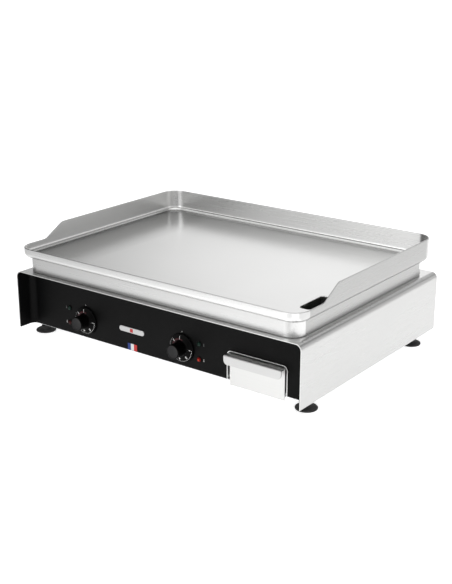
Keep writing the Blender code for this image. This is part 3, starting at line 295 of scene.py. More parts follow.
def brushed(name, grain, colour, roughness, streak=0.04, bump=0.015, spread=0.7, painted_shades=()):
    """Sheet steel ground in one direction: long fine streaks and soft patches.

    spread is how much further a highlight reaches across the grain than along it. Each painted
    shade is a darker zone painted beside a wall, standing in for the shade that the wall mirrors
    onto the steel: its axis, the wall's place, where the painted shade ends, and its depth.
    """
    finish = Finish(name, roughness, 1.0)
    grain_of[name] = AXES.index(grain)
    if spread:
        finish.set("Anisotropic", spread)
        across = add_node(finish.tree, "Tangent", direction_type="UV_MAP", uv_map="grain")
        finish.link(across.outputs["Tangent"], "Tangent")
    stretch = tuple(GRAIN_SHARE if axis == grain else 1.0 for axis in AXES)
    fine = finish.noise(FINEST_GRAIN, stretch, 3.0, 0.7)
    coarse = finish.noise(COARSE_GRAIN, stretch, 4.0, 0.65)
    patch = finish.noise(7, (1, 1, 1), 3.0, 0.5)
    streaks = finish.add(fine, coarse, 0.55)
    dark = tuple(value * (1.0 - streak) for value in colour)
    light = tuple(min(1.0, value * (1.0 + streak)) for value in colour)
    base = finish.dapple(streaks, dark, light)
    smudge = tuple(value * 0.98 for value in colour)
    base = finish.blend(finish.span(patch, 0.0, 0.45, 0.35, 0.75), base, smudge)
    # Painted shade: each zone darkens the colour towards a wall, in place of the wall's mirrored shade.
    for axis, wall, end, depth in painted_shades:
        axes = add_node(finish.tree, "SeparateXYZ", {"Vector": finish.place})
        base = finish.blend(finish.span(axes.outputs[axis], depth, 0.0, wall, end), base, PAINTED_SHADE_TINT)
    finish.colour(base)
    finish.roughness(finish.add(streaks, patch, 0.15), roughness * 0.9, roughness * 1.12)
    finish.bump(streaks, bump, 0.00006)
    return finish.material


def zinc_coated():
    """Zinc-coated sheet and fasteners, with a faint spangle."""
    finish = Finish("zinc_coated", 0.42, 1.0)
    spangle = finish.cells(140)
    cloud = finish.noise(30, detail=4.0)
    base = finish.dapple(spangle, (0.42, 0.43, 0.45), (0.60, 0.61, 0.62), 0.0, 0.8)
    finish.colour(finish.blend(finish.span(cloud, 0.0, 0.5), base, (0.48, 0.48, 0.47)))
    finish.roughness(cloud, 0.34, 0.52)
    finish.bump(spangle, 0.08, 0.0001)
    return finish.material


def black_coating():
    """Satin black powder coating with its fine orange peel."""
    finish = Finish("black_coating", 0.42, 0.0, 0.09)
    peel = finish.noise(900, detail=2.0)
    cloud = finish.noise(14, detail=3.0)
    finish.colour(finish.dapple(cloud, (0.0016, 0.0016, 0.0017), (0.0026, 0.0026, 0.0027)))
    finish.roughness(peel, 0.38, 0.48)
    finish.bump(peel, 0.10, 0.00005)
    return finish.material


def moulded(name, dark, light, roughness, specular):
    """Moulded plastic or rubber: a fine moulded grain and slightly rubbed edges."""
    finish = Finish(name, roughness, 0.0, specular)
    texture = finish.noise(1100, detail=2.0)
    cloud = finish.noise(40, detail=3.0)
    base = finish.dapple(cloud, dark, light)
    rubbed = tuple(value * 1.8 + 0.004 for value in light)
    finish.colour(finish.blend(finish.edges(0.54, 0.66), base, rubbed))
    finish.roughness(texture, roughness * 0.9, roughness * 1.12)
    finish.bump(texture, 0.15, 0.00005)
    return finish.material


def lens(name, dark, light, glow=None):
    """A ribbed lamp lens; glow is the colour and the strength of a lamp that is on."""
    finish = Finish(name, 0.22, 0.0, 0.18)
    if glow:
        finish.set("Emission Color", (*glow[0], 1.0))
        finish.set("Emission Strength", glow[1])
    return finish.coat(finish.noise(500, detail=2.0), dark, light, (0.12, 0.24), (0.10, 0.0001))


def printed(name, colour, roughness=0.45):
    """Screen-printed ink, slightly uneven."""
    finish = Finish(name, roughness, 0.0, 0.3)
    faded = tuple(value * 0.86 for value in colour)
    return finish.coat(finish.noise(1600, detail=3.0), faded, colour,
                       (roughness * 0.85, roughness * 1.15), (0.06, 0.00003))


def wool():
    finish = Finish("ceramic_wool_mat", 0.95, 0.0, 0.2)
    fibres = finish.noise(420, (0.35, 1.0, 1.0), 6.0, 0.75)
    return finish.coat(fibres, (0.60, 0.57, 0.50), (0.84, 0.82, 0.77), (0.88, 1.0), (0.6, 0.0008))


def scaled_metal(name, dark, light, roughness):
    """Metal with the mottled film of a part that gets hot."""
    finish = Finish(name, roughness, 1.0)
    film = finish.noise(90, detail=6.0, roughness=0.7)
    return finish.coat(film, dark, light, (roughness * 0.8, roughness * 1.2), (0.12, 0.0001))


def braided():
    finish = Finish("braided_sleeve", 0.7, 0.0, 0.3)
    weave = finish.cells(900, (1.0, 0.6, 1.0))
    return finish.coat(weave, (0.03, 0.03, 0.03), (0.16, 0.16, 0.15), (0.6, 0.8), (0.5, 0.0003), (0.0, 0.7))


STEEL_X = brushed("brushed_steel_across", "X", (0.77, 0.77, 0.765), 0.28)
# Painted shade: the casing's sides are a darker copy of the casing steel.
STEEL_SIDE_PAINTED_SHADE = brushed("brushed_steel_along_painted_shade", "Y", (0.60, 0.60, 0.595), 0.28, 0.03)
# Painted shade on the cooking surface beside its left and back walls, standing in for the shade that the
# walls mirror into it.
PAINTED_SHADE_ZONES = (("X", plate_low.x, plate_low.x + 0.14, 0.90), ("Y", plate_high.y, plate_high.y - 0.09, 0.42))
COOKING = brushed("cooking_surface_steel", "X", (0.61, 0.61, 0.605), 0.19, 0.02, 0.01, painted_shades=PAINTED_SHADE_ZONES)
# Painted light and shade: the plate is one steel sheet, given here as lit and shaded copies. The inner walls
# are lighter, the outer corners and outer side walls are darker as painted shade, and the inner bends are
# lightest as a painted highlight.
WALL_X_PAINTED_LIGHT = brushed("plate_wall_across_painted_light", "X", (0.91, 0.91, 0.905), 0.28, 0.04)
WALL_Y_PAINTED_LIGHT = brushed("plate_wall_along_painted_light", "Y", (0.90, 0.90, 0.89), 0.30, 0.04)
CORNER_PAINTED_SHADE = brushed("plate_corner_painted_shade", "Y", (0.66, 0.66, 0.655), 0.30, 0.03)
BEND_PAINTED_HIGHLIGHT = brushed("plate_bend_painted_highlight", "Y", (0.93, 0.93, 0.92), 0.22, 0.02)
WALL_OUTER_PAINTED_SHADE = brushed("plate_wall_outer_painted_shade", "Y", (0.45, 0.45, 0.445), 0.28, 0.05)
# Painted shade: the skirt's sides are a darker copy of its steel.
SKIRT_SIDE_PAINTED_SHADE = brushed("skirt_along_painted_shade", "Y", (0.47, 0.47, 0.465), 0.28, 0.05)
# Painted light and shade on the one folded drawer sheet: the front plate is a lighter copy standing in for
# the floor light that it mirrors, and the lip is a darker copy as painted shade.
DRAWER_STEEL_PAINTED_LIGHT = brushed("drawer_steel_painted_light", "X", (0.77, 0.77, 0.76), 0.32, 0.03)
LIP_PAINTED_SHADE = brushed("drawer_lip_painted_shade", "X", (0.64, 0.64, 0.635), 0.30, 0.03)
EDGING_STEEL = brushed("drawer_edging_steel", "Z", (0.88, 0.88, 0.87), 0.26, 0.03)
INNER_STEEL = brushed("chute_steel", "Z", (0.34, 0.34, 0.335), 0.42, spread=0.0)
REAR_STEEL = brushed("rear_panel_steel", "X", (0.66, 0.66, 0.655), 0.34, spread=0.0)
TRAY_STEEL = brushed("tray_steel", "Y", (0.66, 0.66, 0.655), 0.34, spread=0.0)
ZINC = zinc_coated()
BLACK = black_coating()
KNOB_BLACK = moulded("knob_black", (0.0008, 0.0008, 0.0008), (0.0016, 0.0016, 0.0016), 0.34, 0.06)
# Painted light: the dial's front face is a lighter grey copy of the black moulding, in place of the light
# that falls on it from the front.
KNOB_FACE_PAINTED_LIGHT = moulded("knob_face_painted_light", (0.014, 0.014, 0.0145), (0.021, 0.021, 0.0215), 0.46, 0.2)
RUBBER = moulded("foot_rubber", (0.024, 0.024, 0.024), (0.038, 0.038, 0.038), 0.60, 0.25)
WHITE_PLASTIC = moulded("white_moulding", (0.66, 0.65, 0.60), (0.78, 0.77, 0.73), 0.45, 0.4)
ALUMINIUM = scaled_metal("spreader_aluminium_cast", (0.62, 0.62, 0.62), (0.78, 0.78, 0.78), 0.40)
SHEATH = scaled_metal("element_sheath_film", (0.10, 0.09, 0.09), (0.24, 0.21, 0.19), 0.55)
COPPER = scaled_metal("copper_tube", (0.55, 0.27, 0.16), (0.74, 0.42, 0.29), 0.32)
WOOL = wool()
BRAID = braided()
GREEN_LENS = lens("green_lens_dark", (0.001, 0.012, 0.007), (0.003, 0.020, 0.013))
RED_LENS = lens("red_lens_dark", (0.020, 0.001, 0.001), (0.035, 0.002, 0.002))
RED_LENS_LIT = lens("red_lens_lit", (0.06, 0.0015, 0.0015), (0.10, 0.003, 0.002), ((1.0, 0.012, 0.005), 0.06))
RED_LENS_HEART = lens("red_lens_heart", (0.20, 0.010, 0.003), (0.28, 0.018, 0.004),
                      ((1.0, 0.06, 0.008), 0.19))
WHITE_INK = printed("white_ink", (0.80, 0.80, 0.79))
GREY_INK = printed("grey_ink", (0.16, 0.17, 0.17))
RED_INK = printed("red_ink", (0.11, 0.006, 0.010))
DARK_RED_INK = printed("dark_red_ink", (0.040, 0.001, 0.004))
BADGE_FACE = printed("badge_face", (0.62, 0.62, 0.62), 0.35)
BADGE_BAR = printed("badge_bar", (0.50, 0.03, 0.03), 0.35)
BAND_INKS = [printed("band_blue", (0.018, 0.045, 0.22)), printed("band_white", (0.78, 0.78, 0.78)),
             printed("band_red", (0.55, 0.035, 0.03))]


# ---- mesh tools

def arc(centre, radius, start, end, steps):
    """Points on a circle in a plane, from one angle to another in degrees."""
    points = []
    for i in range(steps + 1):
        angle = math.radians(start + (end - start) * i / steps)
        points.append((centre[0] + radius * math.cos(angle), centre[1] + radius * math.sin(angle)))
    return points


def disc(centre, radius, steps):
    return arc(centre, radius, 0, 360, steps)[:-1]


def corners_of(low, high, radius):
    """Each corner's centre and the angle where its arc starts, round a rectangle anticlockwise."""
    return [(high[0] - radius, low[1] + radius, -90), (high[0] - radius, high[1] - radius, 0),
            (low[0] + radius, high[1] - radius, 90), (low[0] + radius, low[1] + radius, 180)]


def rounded_rectangle(low, high, radius, steps):
    path = []
    for x, y, start in corners_of(low, high, radius):
        path += arc((x, y), radius, start, start + 90, steps)
    return path


def both_sides(half):
    """The closed outline whose right half runs from the middle round to the middle."""
    left = [(-x, height) for x, height in reversed(half)]
    return half + left


def add_grid(bm, rows, close_rows=False, close_columns=False):
    """Quads between rows of points; returns the rows of vertices."""
    verts = [[bm.verts.new(point) for point in row] for row in rows]
    row_count = len(rows) if close_rows else len(rows) - 1
    columns = len(rows[0])
    column_count = columns if close_columns else columns - 1
    for i in range(row_count):
        for j in range(column_count):
            after, beside = (i + 1) % len(rows), (j + 1) % columns
            bm.faces.new((verts[i][j], verts[i][beside], verts[after][beside], verts[after][j]))
    return verts


def add_prism(bm, outline, low, high, plane):
    """A solid with a flat outline in the plane XY, XZ or YZ, from low to high along the third axis."""
    depth_axis = next(i for i, axis in enumerate(AXES) if axis not in plane)
    rows = [[(*point[:depth_axis], depth, *point[depth_axis:]) for point in outline] for depth in (low, high)]
    verts = add_grid(bm, rows, close_columns=True)
    bm.faces.new(verts[0])
    bm.faces.new(verts[1])


def add_box(bm, low, high):
    add_prism(bm, [(low[0], low[1]), (high[0], low[1]), (high[0], high[1]), (low[0], high[1])],
              low[2], high[2], "XY")


def add_lathe(bm, profile, steps, place, shape=None):
    """A turned solid: profile holds (radius, height) from one end of the axis to the other.

    shape(angle, radius, height) may change the radius round the turn.
    """
    rows = []
    for i in range(steps):
        angle = math.tau * i / steps
        row = []
        for radius, height in profile:
            reach = shape(angle, radius, height) if shape and radius > 0 else radius
            row.append(place @ Vector((reach * math.cos(angle), reach * math.sin(angle), height)))
        rows.append(row)
    add_grid(bm, rows, close_rows=True)


def tidy(bm):
    """Welds points that share a place and turns every face outwards."""
    bmesh.ops.remove_doubles(bm, verts=bm.verts, dist=WELD)
    bmesh.ops.dissolve_degenerate(bm, edges=bm.edges, dist=0.000001)
    bmesh.ops.recalc_face_normals(bm, faces=bm.faces)


def shade(mesh):
    mesh.shade_smooth()
    mesh.set_sharp_from_angle(angle=SHARP_ANGLE)


def add_item(name, data):
    item = bpy.data.objects.new(name, data)
    bpy.context.scene.collection.objects.link(item)
    return item


def loose_object(name, bm):
    tidy(bm)
    mesh = bpy.data.meshes.new(name)
    bm.to_mesh(mesh)
    bm.free()
    shade(mesh)
    return add_item(name, mesh)


def prism_object(name, *shape):
    bm = bmesh.new()
    add_prism(bm, *shape)
    return loose_object(name, bm)


def lathe_object(name, *shape):
    bm = bmesh.new()
    add_lathe(bm, *shape)
    return loose_object(name, bm)


def apply_modifiers(item):
    evaluated = item.evaluated_get(bpy.context.evaluated_depsgraph_get())
    mesh = bpy.data.meshes.new_from_object(evaluated)
    item.modifiers.clear()
    item.data = mesh


def boolean(item, other, operation="DIFFERENCE"):
    """Cuts one object with another, and removes the other."""
    modifier = item.modifiers.new("cut", "BOOLEAN")
    modifier.operation = operation
    modifier.solver = "EXACT"
    modifier.object = other
    apply_modifiers(item)
    bpy.data.objects.remove(other, do_unlink=True)


def add_edges(item, width, segments):
    """Modifiers for small round edges, with flat faces that stay flat in the light."""
    bevel = item.modifiers.new("edges", "BEVEL")
    bevel.width = width
    bevel.segments = segments
    bevel.limit_method = "ANGLE"
    bevel.angle_limit = BEVEL_ANGLE
    item.modifiers.new("normals", "WEIGHTED_NORMAL").keep_sharp = False


def soften(item, width=EDGE, segments=2):
    add_edges(item, width, segments)
    item.data.shade_smooth()
    apply_modifiers(item)


def paint(item, *materials):
    item.data.materials.clear()
    for material in materials:
        item.data.materials.append(material)


def paint_by_side(item, across, along, level, *others):
    """Materials by the way that each face looks: front and back, sides, and level faces. The copies differ in
    lightness to paint in the light and shade that fall on each side.
    """
    paint(item, across, along, level, *others)
    for face in item.data.polygons:
        x, y, z = [abs(value) for value in face.normal]
        face.material_index = 2 if z > LEVEL_FACE else int(x > y)


def paint_faces(item, index, test):
    """One of the item's materials on the faces whose centre and normal pass a test."""
    for face in item.data.polygons:
        if test(face.center, face.normal):
            face.material_index = index


def lay_grain(item):
    """Texture coordinates whose first axis runs across the grain of each face's material."""
    mesh = item.data
    layer = mesh.uv_layers.new(name="grain")
    for face in mesh.polygons:
        material = mesh.materials[face.material_index]
        along = grain_of.get(material.name, 0)
        first, second = [axis for axis in range(3) if axis != along]
        if abs(face.normal[first]) > abs(face.normal[second]):
            first = second
        for loop in face.loop_indices:
            place = mesh.vertices[mesh.loops[loop].vertex_index].co
            layer.data[loop].uv = (place[first], place[along])


def settle(item, body, slot, *nodes):
    """Puts a finished piece on its body, in place of the CAD nodes that it stands for. The slot is not used.
    """
    lay_grain(item)
    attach(item, body)
    if nodes:
        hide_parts(*nodes)


def complete(item, material, body, slot, *nodes):
    paint(item, material)
    settle(item, body, slot, *nodes)


FACING_FRONT = Matrix.Rotation(math.radians(90), 4, "X")
FACING_BACK = Matrix.Rotation(math.radians(-90), 4, "X")


def on_panel(x, z):
    """A frame on the front panel: its X to the right, its Y up and its Z towards the cook."""
    return Matrix.Translation((x, PANEL_FACE, z)) @ FACING_FRONT


# ---- cooking plate

def wall_height(y):
    """Height of the plate's edge: low lip in front, then a slope with rounded ends, then wall."""
    foot, top = SLOPE_Y
    slope = math.atan2(WALL_TOP - LIP_TOP, top - foot)
    start = foot - SLOPE_FOOT_RADIUS * math.tan(slope / 2)
    end = top + SLOPE_TOP_RADIUS * math.tan(slope / 2)
    if y <= start:
        return LIP_TOP
    if y < start + SLOPE_FOOT_RADIUS * math.sin(slope):
        return LIP_TOP + SLOPE_FOOT_RADIUS - math.sqrt(SLOPE_FOOT_RADIUS ** 2 - (y - start) ** 2)
    if y <= end - SLOPE_TOP_RADIUS * math.sin(slope):
        return LIP_TOP + (y - foot) * math.tan(slope)
    if y < end:
        return WALL_TOP - SLOPE_TOP_RADIUS + math.sqrt(SLOPE_TOP_RADIUS ** 2 - (end - y) ** 2)
    return WALL_TOP


def marks(start, end, spacing):
    count = max(1, round(abs(end - start) / spacing))
    return [start + (end - start) * i / count for i in range(count + 1)]


def sweep(bm, low, high, corner, corner_steps, side_marks, section_at, closed=False):
    """A section carried round a rounded rectangle; section_at(y) holds (distance in, height)."""
    xs = marks(low.x + corner, high.x - corner, 0.02)[1:-1]
    straights = [[(high.x, y) for y in side_marks], [(x, high.y) for x in reversed(xs)],
                 [(low.x, y) for y in reversed(side_marks)], [(x, low.y) for x in xs]]
    rows = []
    for (x, y, start), straight in zip(corners_of(low, high, corner), straights):
        turns = [math.radians(start + 90 * j / corner_steps) for j in range(corner_steps + 1)]
        spots = arc((x, y), corner, start, start + 90, corner_steps) + straight
        turns += turns[-1:] * len(straight)
        for spot, turn in zip(spots, turns):
            out_x, out_y = math.cos(turn), math.sin(turn)
            section = section_at(spot[1])
            rows.append([(spot[0] - out_x * inset, spot[1] - out_y * inset, z) for inset, z in section])
    add_grid(bm, rows, close_rows=True, close_columns=closed)


def plate_profile(height):
    """The plate's section at its edge: (distance in from the outer face, height)."""
    bend_in = PLATE_BEND - PLATE_SHEET
    rim = PLATE_RIM
    section = [(PLATE_BEND + PLATE_FLAT, PLATE_TOP), (PLATE_BEND + 0.001, PLATE_TOP)]
    section += arc((PLATE_BEND, PLATE_TOP + bend_in), bend_in, 270, 180, 12)
    section += [(PLATE_SHEET, (PLATE_TOP + bend_in + height) / 2), (PLATE_SHEET, height - 2 * rim)]
    section += arc((PLATE_SHEET - rim, height - rim), rim, 0, 90, 4)
    section += arc((rim, height - rim), rim, 90, 180, 4)
    section += [(0.0, height - 2 * rim), (0.0, (plate_low.z + PLATE_BEND + height) / 2)]
    section += arc((PLATE_BEND, plate_low.z + PLATE_BEND), PLATE_BEND, 180, 270, 12)
    section += [(PLATE_BEND + 0.001, plate_low.z), (PLATE_BEND + PLATE_FLAT, plate_low.z)]
    return section


def make_plate():
    slope_zone = (SLOPE_Y[0] - 0.010, SLOPE_Y[1] + 0.008)
    side_marks = marks(plate_low.y + PLATE_CORNER, slope_zone[0], 0.01)[1:]
    side_marks += marks(*slope_zone, 0.0015)[1:]
    side_marks += marks(slope_zone[1], plate_high.y - PLATE_CORNER, 0.02)[1:-1]
    bm = bmesh.new()
    sweep(bm, plate_low, plate_high, PLATE_CORNER, 20, side_marks, lambda y: plate_profile(wall_height(y)))
    edge, reach = SLOT_EDGE, SLOT_MARGIN
    section = [(-reach, PLATE_TOP), (-edge, PLATE_TOP)]
    section += [(x - edge, PLATE_TOP - edge + z) for x, z in arc((0, 0), edge, 90, 0, 3)]
    section += [(0.0, plate_low.z + edge), (-edge, plate_low.z), (-reach, plate_low.z)]
    sweep(bm, SLOT_LOW, SLOT_HIGH, SLOT_CORNER, 8, [], lambda y: section)
    bmesh.ops.remove_doubles(bm, verts=bm.verts, dist=WELD)
    for level, pick in ((PLATE_TOP, 1), (plate_low.z, -1)):
        rims = [e for e in bm.edges if len(e.link_faces) == 1
                and all(abs(v.co.z - level) < 0.00001 for v in e.verts)]
        bmesh.ops.triangle_fill(bm, use_beauty=True, edges=rims, normal=(0, 0, pick))
    plate = loose_object("cooking_plate", bm)
    # Painted light and shade, chosen by the way that each face of the plate turns.
    paint_by_side(plate, WALL_X_PAINTED_LIGHT, WALL_Y_PAINTED_LIGHT, COOKING, WALL_OUTER_PAINTED_SHADE, CORNER_PAINTED_SHADE, BEND_PAINTED_HIGHLIGHT)

    def corner(spot, normal):
        return normal.x * spot.x > 0 and abs(normal.x) > 0.75

    def outside(spot, normal):
        return normal.x * spot.x > 0 and abs(normal.y) < 0.01 and normal.z < 0.3

    # Painted highlight on the inner bends, then painted shade on the outer corners and the outer side walls.
    paint_faces(plate, 5, lambda spot, normal: 0.3 < normal.z < 0.98 and spot.z < LIP_TOP - PLATE_BEND)
    paint_faces(plate, 4, corner)
    paint_faces(plate, 3, outside)
    settle(plate, "cabinet", "plate_steel", "griddle_plate")


def make_skirt():
    """The upright band under the plate, with its flange turned in on the casing."""
    bend = SKIRT_BEND
    inner = bend - SHEET
    bottom = skirt_low.z
    section = [(SHEET, skirt_high.z - EDGE), (SHEET - EDGE, skirt_high.z), (EDGE, skirt_high.z)]
    section += [(0.0, skirt_high.z - EDGE)] + arc((bend, bottom + bend), bend, 180, 270, 5)
    section += [(SKIRT_FLANGE, bottom), (SKIRT_FLANGE, bottom + SHEET)]
    section += arc((bend, bottom + bend), inner, 270, 180, 5)
    bm = bmesh.new()
    side_marks = marks(skirt_low.y + SKIRT_CORNER, skirt_high.y - SKIRT_CORNER, 0.04)[1:-1]
    sweep(bm, skirt_low, skirt_high, SKIRT_CORNER, 20, side_marks, lambda y: section, closed=True)
    skirt = loose_object("skirt_band", bm)
    paint(skirt, STEEL_X, SKIRT_SIDE_PAINTED_SHADE)
    # Painted shade on the skirt's sides.
    paint_faces(skirt, 1, lambda spot, normal: abs(normal.x) > FLAT_SIDE)
    settle(skirt, "cabinet", "brushed_steel", "plate_skirt")


# ---- casing and panels

def make_casing():
    side, top, bottom = case_high.x, case_high.z, case_low.z
    foot = (side - FOLD_RADIUS, bottom + FOLD_RADIUS)
    turn = (side - CASE_BEND, top - CASE_BEND)
    outer = arc(turn, CASE_BEND, 90, 0, 20) + arc(foot, FOLD_RADIUS, 0, -90, 5)
    outer += [(side - CASE_FLANGE, bottom), (side - CASE_FLANGE, bottom + SHEET)]
    inner = arc(foot, FOLD_RADIUS - SHEET, -90, 0, 5) + arc(turn, CASE_BEND - SHEET, 0, 90, 20)
    casing = prism_object("casing_cover", both_sides(outer + inner), case_low.y, case_high.y, "XZ")
    bm = bmesh.new()
    inset = Vector((CASE_OPENING_INSET, CASE_OPENING_INSET, 0.0))
    opening = rounded_rectangle(plate_low + inset, plate_high - inset, CASE_OPENING_CORNER, 6)
    add_prism(bm, opening, top - MARGIN, top + MARGIN, "XY")
    for start, end in ((case_low.y - MARGIN, base_low.y), (base_high.y, case_high.y + MARGIN)):
        add_box(bm, (-CASE_INSIDE, start, bottom - MARGIN), (CASE_INSIDE, end, bottom + 2 * SHEET))
    boolean(casing, loose_object("casing_cuts", bm))
    soften(casing)
    # Painted shade: the casing's sides take the darker copy of its steel.
    paint_by_side(casing, STEEL_X, STEEL_SIDE_PAINTED_SHADE, STEEL_X)
    settle(casing, "cabinet", "brushed_steel", "casing_shell")


def opening_outline(half, top, radius, bottom):
    outline = [(DRAWER_X - half, bottom), (DRAWER_X + half, bottom)]
    outline += arc((DRAWER_X + half - radius, top - radius), radius, 0, 90, 10)
    outline += arc((DRAWER_X - half + radius, top - radius), radius, 90, 180, 10)
    return outline


def make_front_panel():
    side, back, start = panel_high.x, panel_high.y, panel_low.y
    turn = (side - PANEL_BEND, back - PANEL_BEND)
    half = arc(turn, PANEL_BEND, 90, 0, 16) + [(side, start), (side - PANEL_SHEET, start)]
    half += arc(turn, PANEL_BEND - PANEL_SHEET, 0, 90, 16)
    panel = prism_object("control_panel", both_sides(half), panel_low.z, panel_high.z, "XY")
    trim = CASE_BEND - SHEET
    half = [(CASE_INSIDE, 0.0)] + arc((CASE_INSIDE - trim, panel_high.z - trim), trim, 0, 90, 16)
    inside = prism_object("casing_inside", both_sides(half), case_low.y - MARGIN, case_high.y, "XZ")
    boolean(panel, inside, "INTERSECT")
    bm = bmesh.new()
    through = (PANEL_FACE - MARGIN, back + MARGIN, "XZ")
    holes = {"knob_": KNOB_SHAFT_HOLE, "lamp_green_": LAMP_HOLE, "lamp_red_": LAMP_HOLE}
    for side_name in SIDES:
        for node, radius in holes.items():
            centre = middle(node + side_name)
            add_prism(bm, disc((centre.x, centre.z), radius, 48), *through)
    half = (arch_high.x - arch_low.x) / 2 + GAP
    hole = opening_outline(half, arch_high.z + GAP, OPENING_CORNER + GAP, panel_low.z - MARGIN)
    add_prism(bm, hole, *through)
    boolean(panel, loose_object("panel_cuts", bm))
    soften(panel, 0.0003)
    complete(panel, BLACK, "cabinet", "black_paint", "front_panel")


# ---- grease drawer

def make_surround():
    half, top, corner, wall = (arch_high.x - arch_low.x) / 2, arch_high.z, OPENING_CORNER, DRAWER_WALL
    bottom = arch_low.z
    outer = opening_outline(half, top, corner, bottom)[1:]
    inner = opening_outline(half - wall, top - wall, corner - wall, bottom)
    outline = outer + [(DRAWER_X - half, bottom), inner[0]] + inner[:1:-1] + [inner[1]]
    arch = prism_object("drawer_edging", outline, arch_low.y, arch_high.y, "XZ")
    soften(arch, 0.0004, 3)
    complete(arch, EDGING_STEEL, "cabinet", "brushed_steel", "drawer_surround")


def make_drawer_front():
    """One folded sheet: the front plate, a flange running forward, and a lip turned down."""
    back, reach = front_high.y, front_low.y
    top, bottom = front_high.z, front_low.z
    sheet = DRAWER_WALL
    lip_bottom = top - HANDLE_DROP

    def folded(inset, steps):
        radius, height = FOLD_RADIUS - inset, top - FOLD_RADIUS
        folds = arc((back - FOLD_RADIUS, height), radius, 0, 90, steps)
        folds += arc((reach + FOLD_RADIUS, height), radius, 90, 180, steps)
        return [(back - inset, bottom)] + folds + [(reach + inset, lip_bottom)]

    outline = folded(0.0, 8) + folded(sheet, 6)[::-1]
    front = prism_object("drawer_front_sheet", outline, front_low.x, front_high.x, "YZ")
    bm = bmesh.new()
    corner, flange_end = HANDLE_CORNER, front_high.x - DRAWER_X
    for side in (-1, 1):
        near, far = sorted((DRAWER_X + side * FRONT_HALF, DRAWER_X + side * (FRONT_HALF + MARGIN)))
        add_box(bm, (near, PANEL_FACE - 0.002, -MARGIN), (far, PANEL_FACE + MARGIN, 0.1))
        centre = (flange_end - corner, lip_bottom + corner)
        shape = arc(centre, corner, 0, -90, 14) + [(centre[0], lip_bottom - MARGIN)]
        shape += [(flange_end + MARGIN, lip_bottom - MARGIN), (flange_end + MARGIN, centre[1])]
        shape = [(DRAWER_X + side * x, z) for x, z in shape]
        add_prism(bm, shape, reach - 2 * sheet, reach + 2 * sheet, "XZ")
    boolean(front, loose_object("front_cuts", bm))
    soften(front, 0.0003, 2)
    # Painted light on the front plate and painted shade on the lip, both of one sheet.
    paint(front, DRAWER_STEEL_PAINTED_LIGHT, LIP_PAINTED_SHADE)
    paint_faces(front, 1, lambda spot, normal: spot.y < reach + 2 * sheet)
    settle(front, "grease_drawer", "brushed_steel", "drawer_front")


# ---- dials and lamps

def skirt_height(radius):
    """Height of the dial's sloping skirt above the panel."""
    (inner, high), (outer, low) = SKIRT_INNER, SKIRT_OUTER
    return high + (radius - inner) * (low - high) / (outer - inner)


def add_arc_print(bm, place, steps, inner, outer, start, end):
    """A strip of ink on the skirt; angles are clockwise from the top."""
    rows = []
    for i in range(steps + 1):
        angle = math.radians(start + (end - start) * i / steps)
        section = [(inner, -PRINT), (inner, PRINT), (outer, PRINT), (outer, -PRINT)]
        rows.append([place @ Vector((r * math.sin(angle), r * math.cos(angle), skirt_height(r) + lift))
                     for r, lift in section])
    verts = add_grid(bm, rows, close_columns=True)
    bm.faces.new(verts[0])
    bm.faces.new(verts[-1])


def add_numeral(bm, text, angle, place):
    """One numeral on the skirt that stands upright when its place is turned to the top."""
    curve = bpy.data.curves.new("numeral", "FONT")
    curve.body = text
    curve.size = NUMERAL_SIZE
    curve.align_x = curve.align_y = "CENTER"
    curve.extrude = PRINT
    curve.offset = NUMERAL_BOLDNESS
    item = add_item("numeral", curve)
    bpy.context.view_layer.update()
    mesh = bpy.data.meshes.new_from_object(item.evaluated_get(bpy.context.evaluated_depsgraph_get()))
    bpy.data.objects.remove(item, do_unlink=True)
    tilt = math.atan2(SKIRT_INNER[1] - SKIRT_OUTER[1], SKIRT_OUTER[0] - SKIRT_INNER[0])
    mesh.transform(place @ Matrix.Rotation(-math.radians(angle), 4, "Z")
                   @ Matrix.Translation((0, NUMERAL_RADIUS, skirt_height(NUMERAL_RADIUS)))
                   @ Matrix.Rotation(-tilt, 4, "X"))
    bm.from_mesh(mesh)
    bpy.data.meshes.remove(mesh)


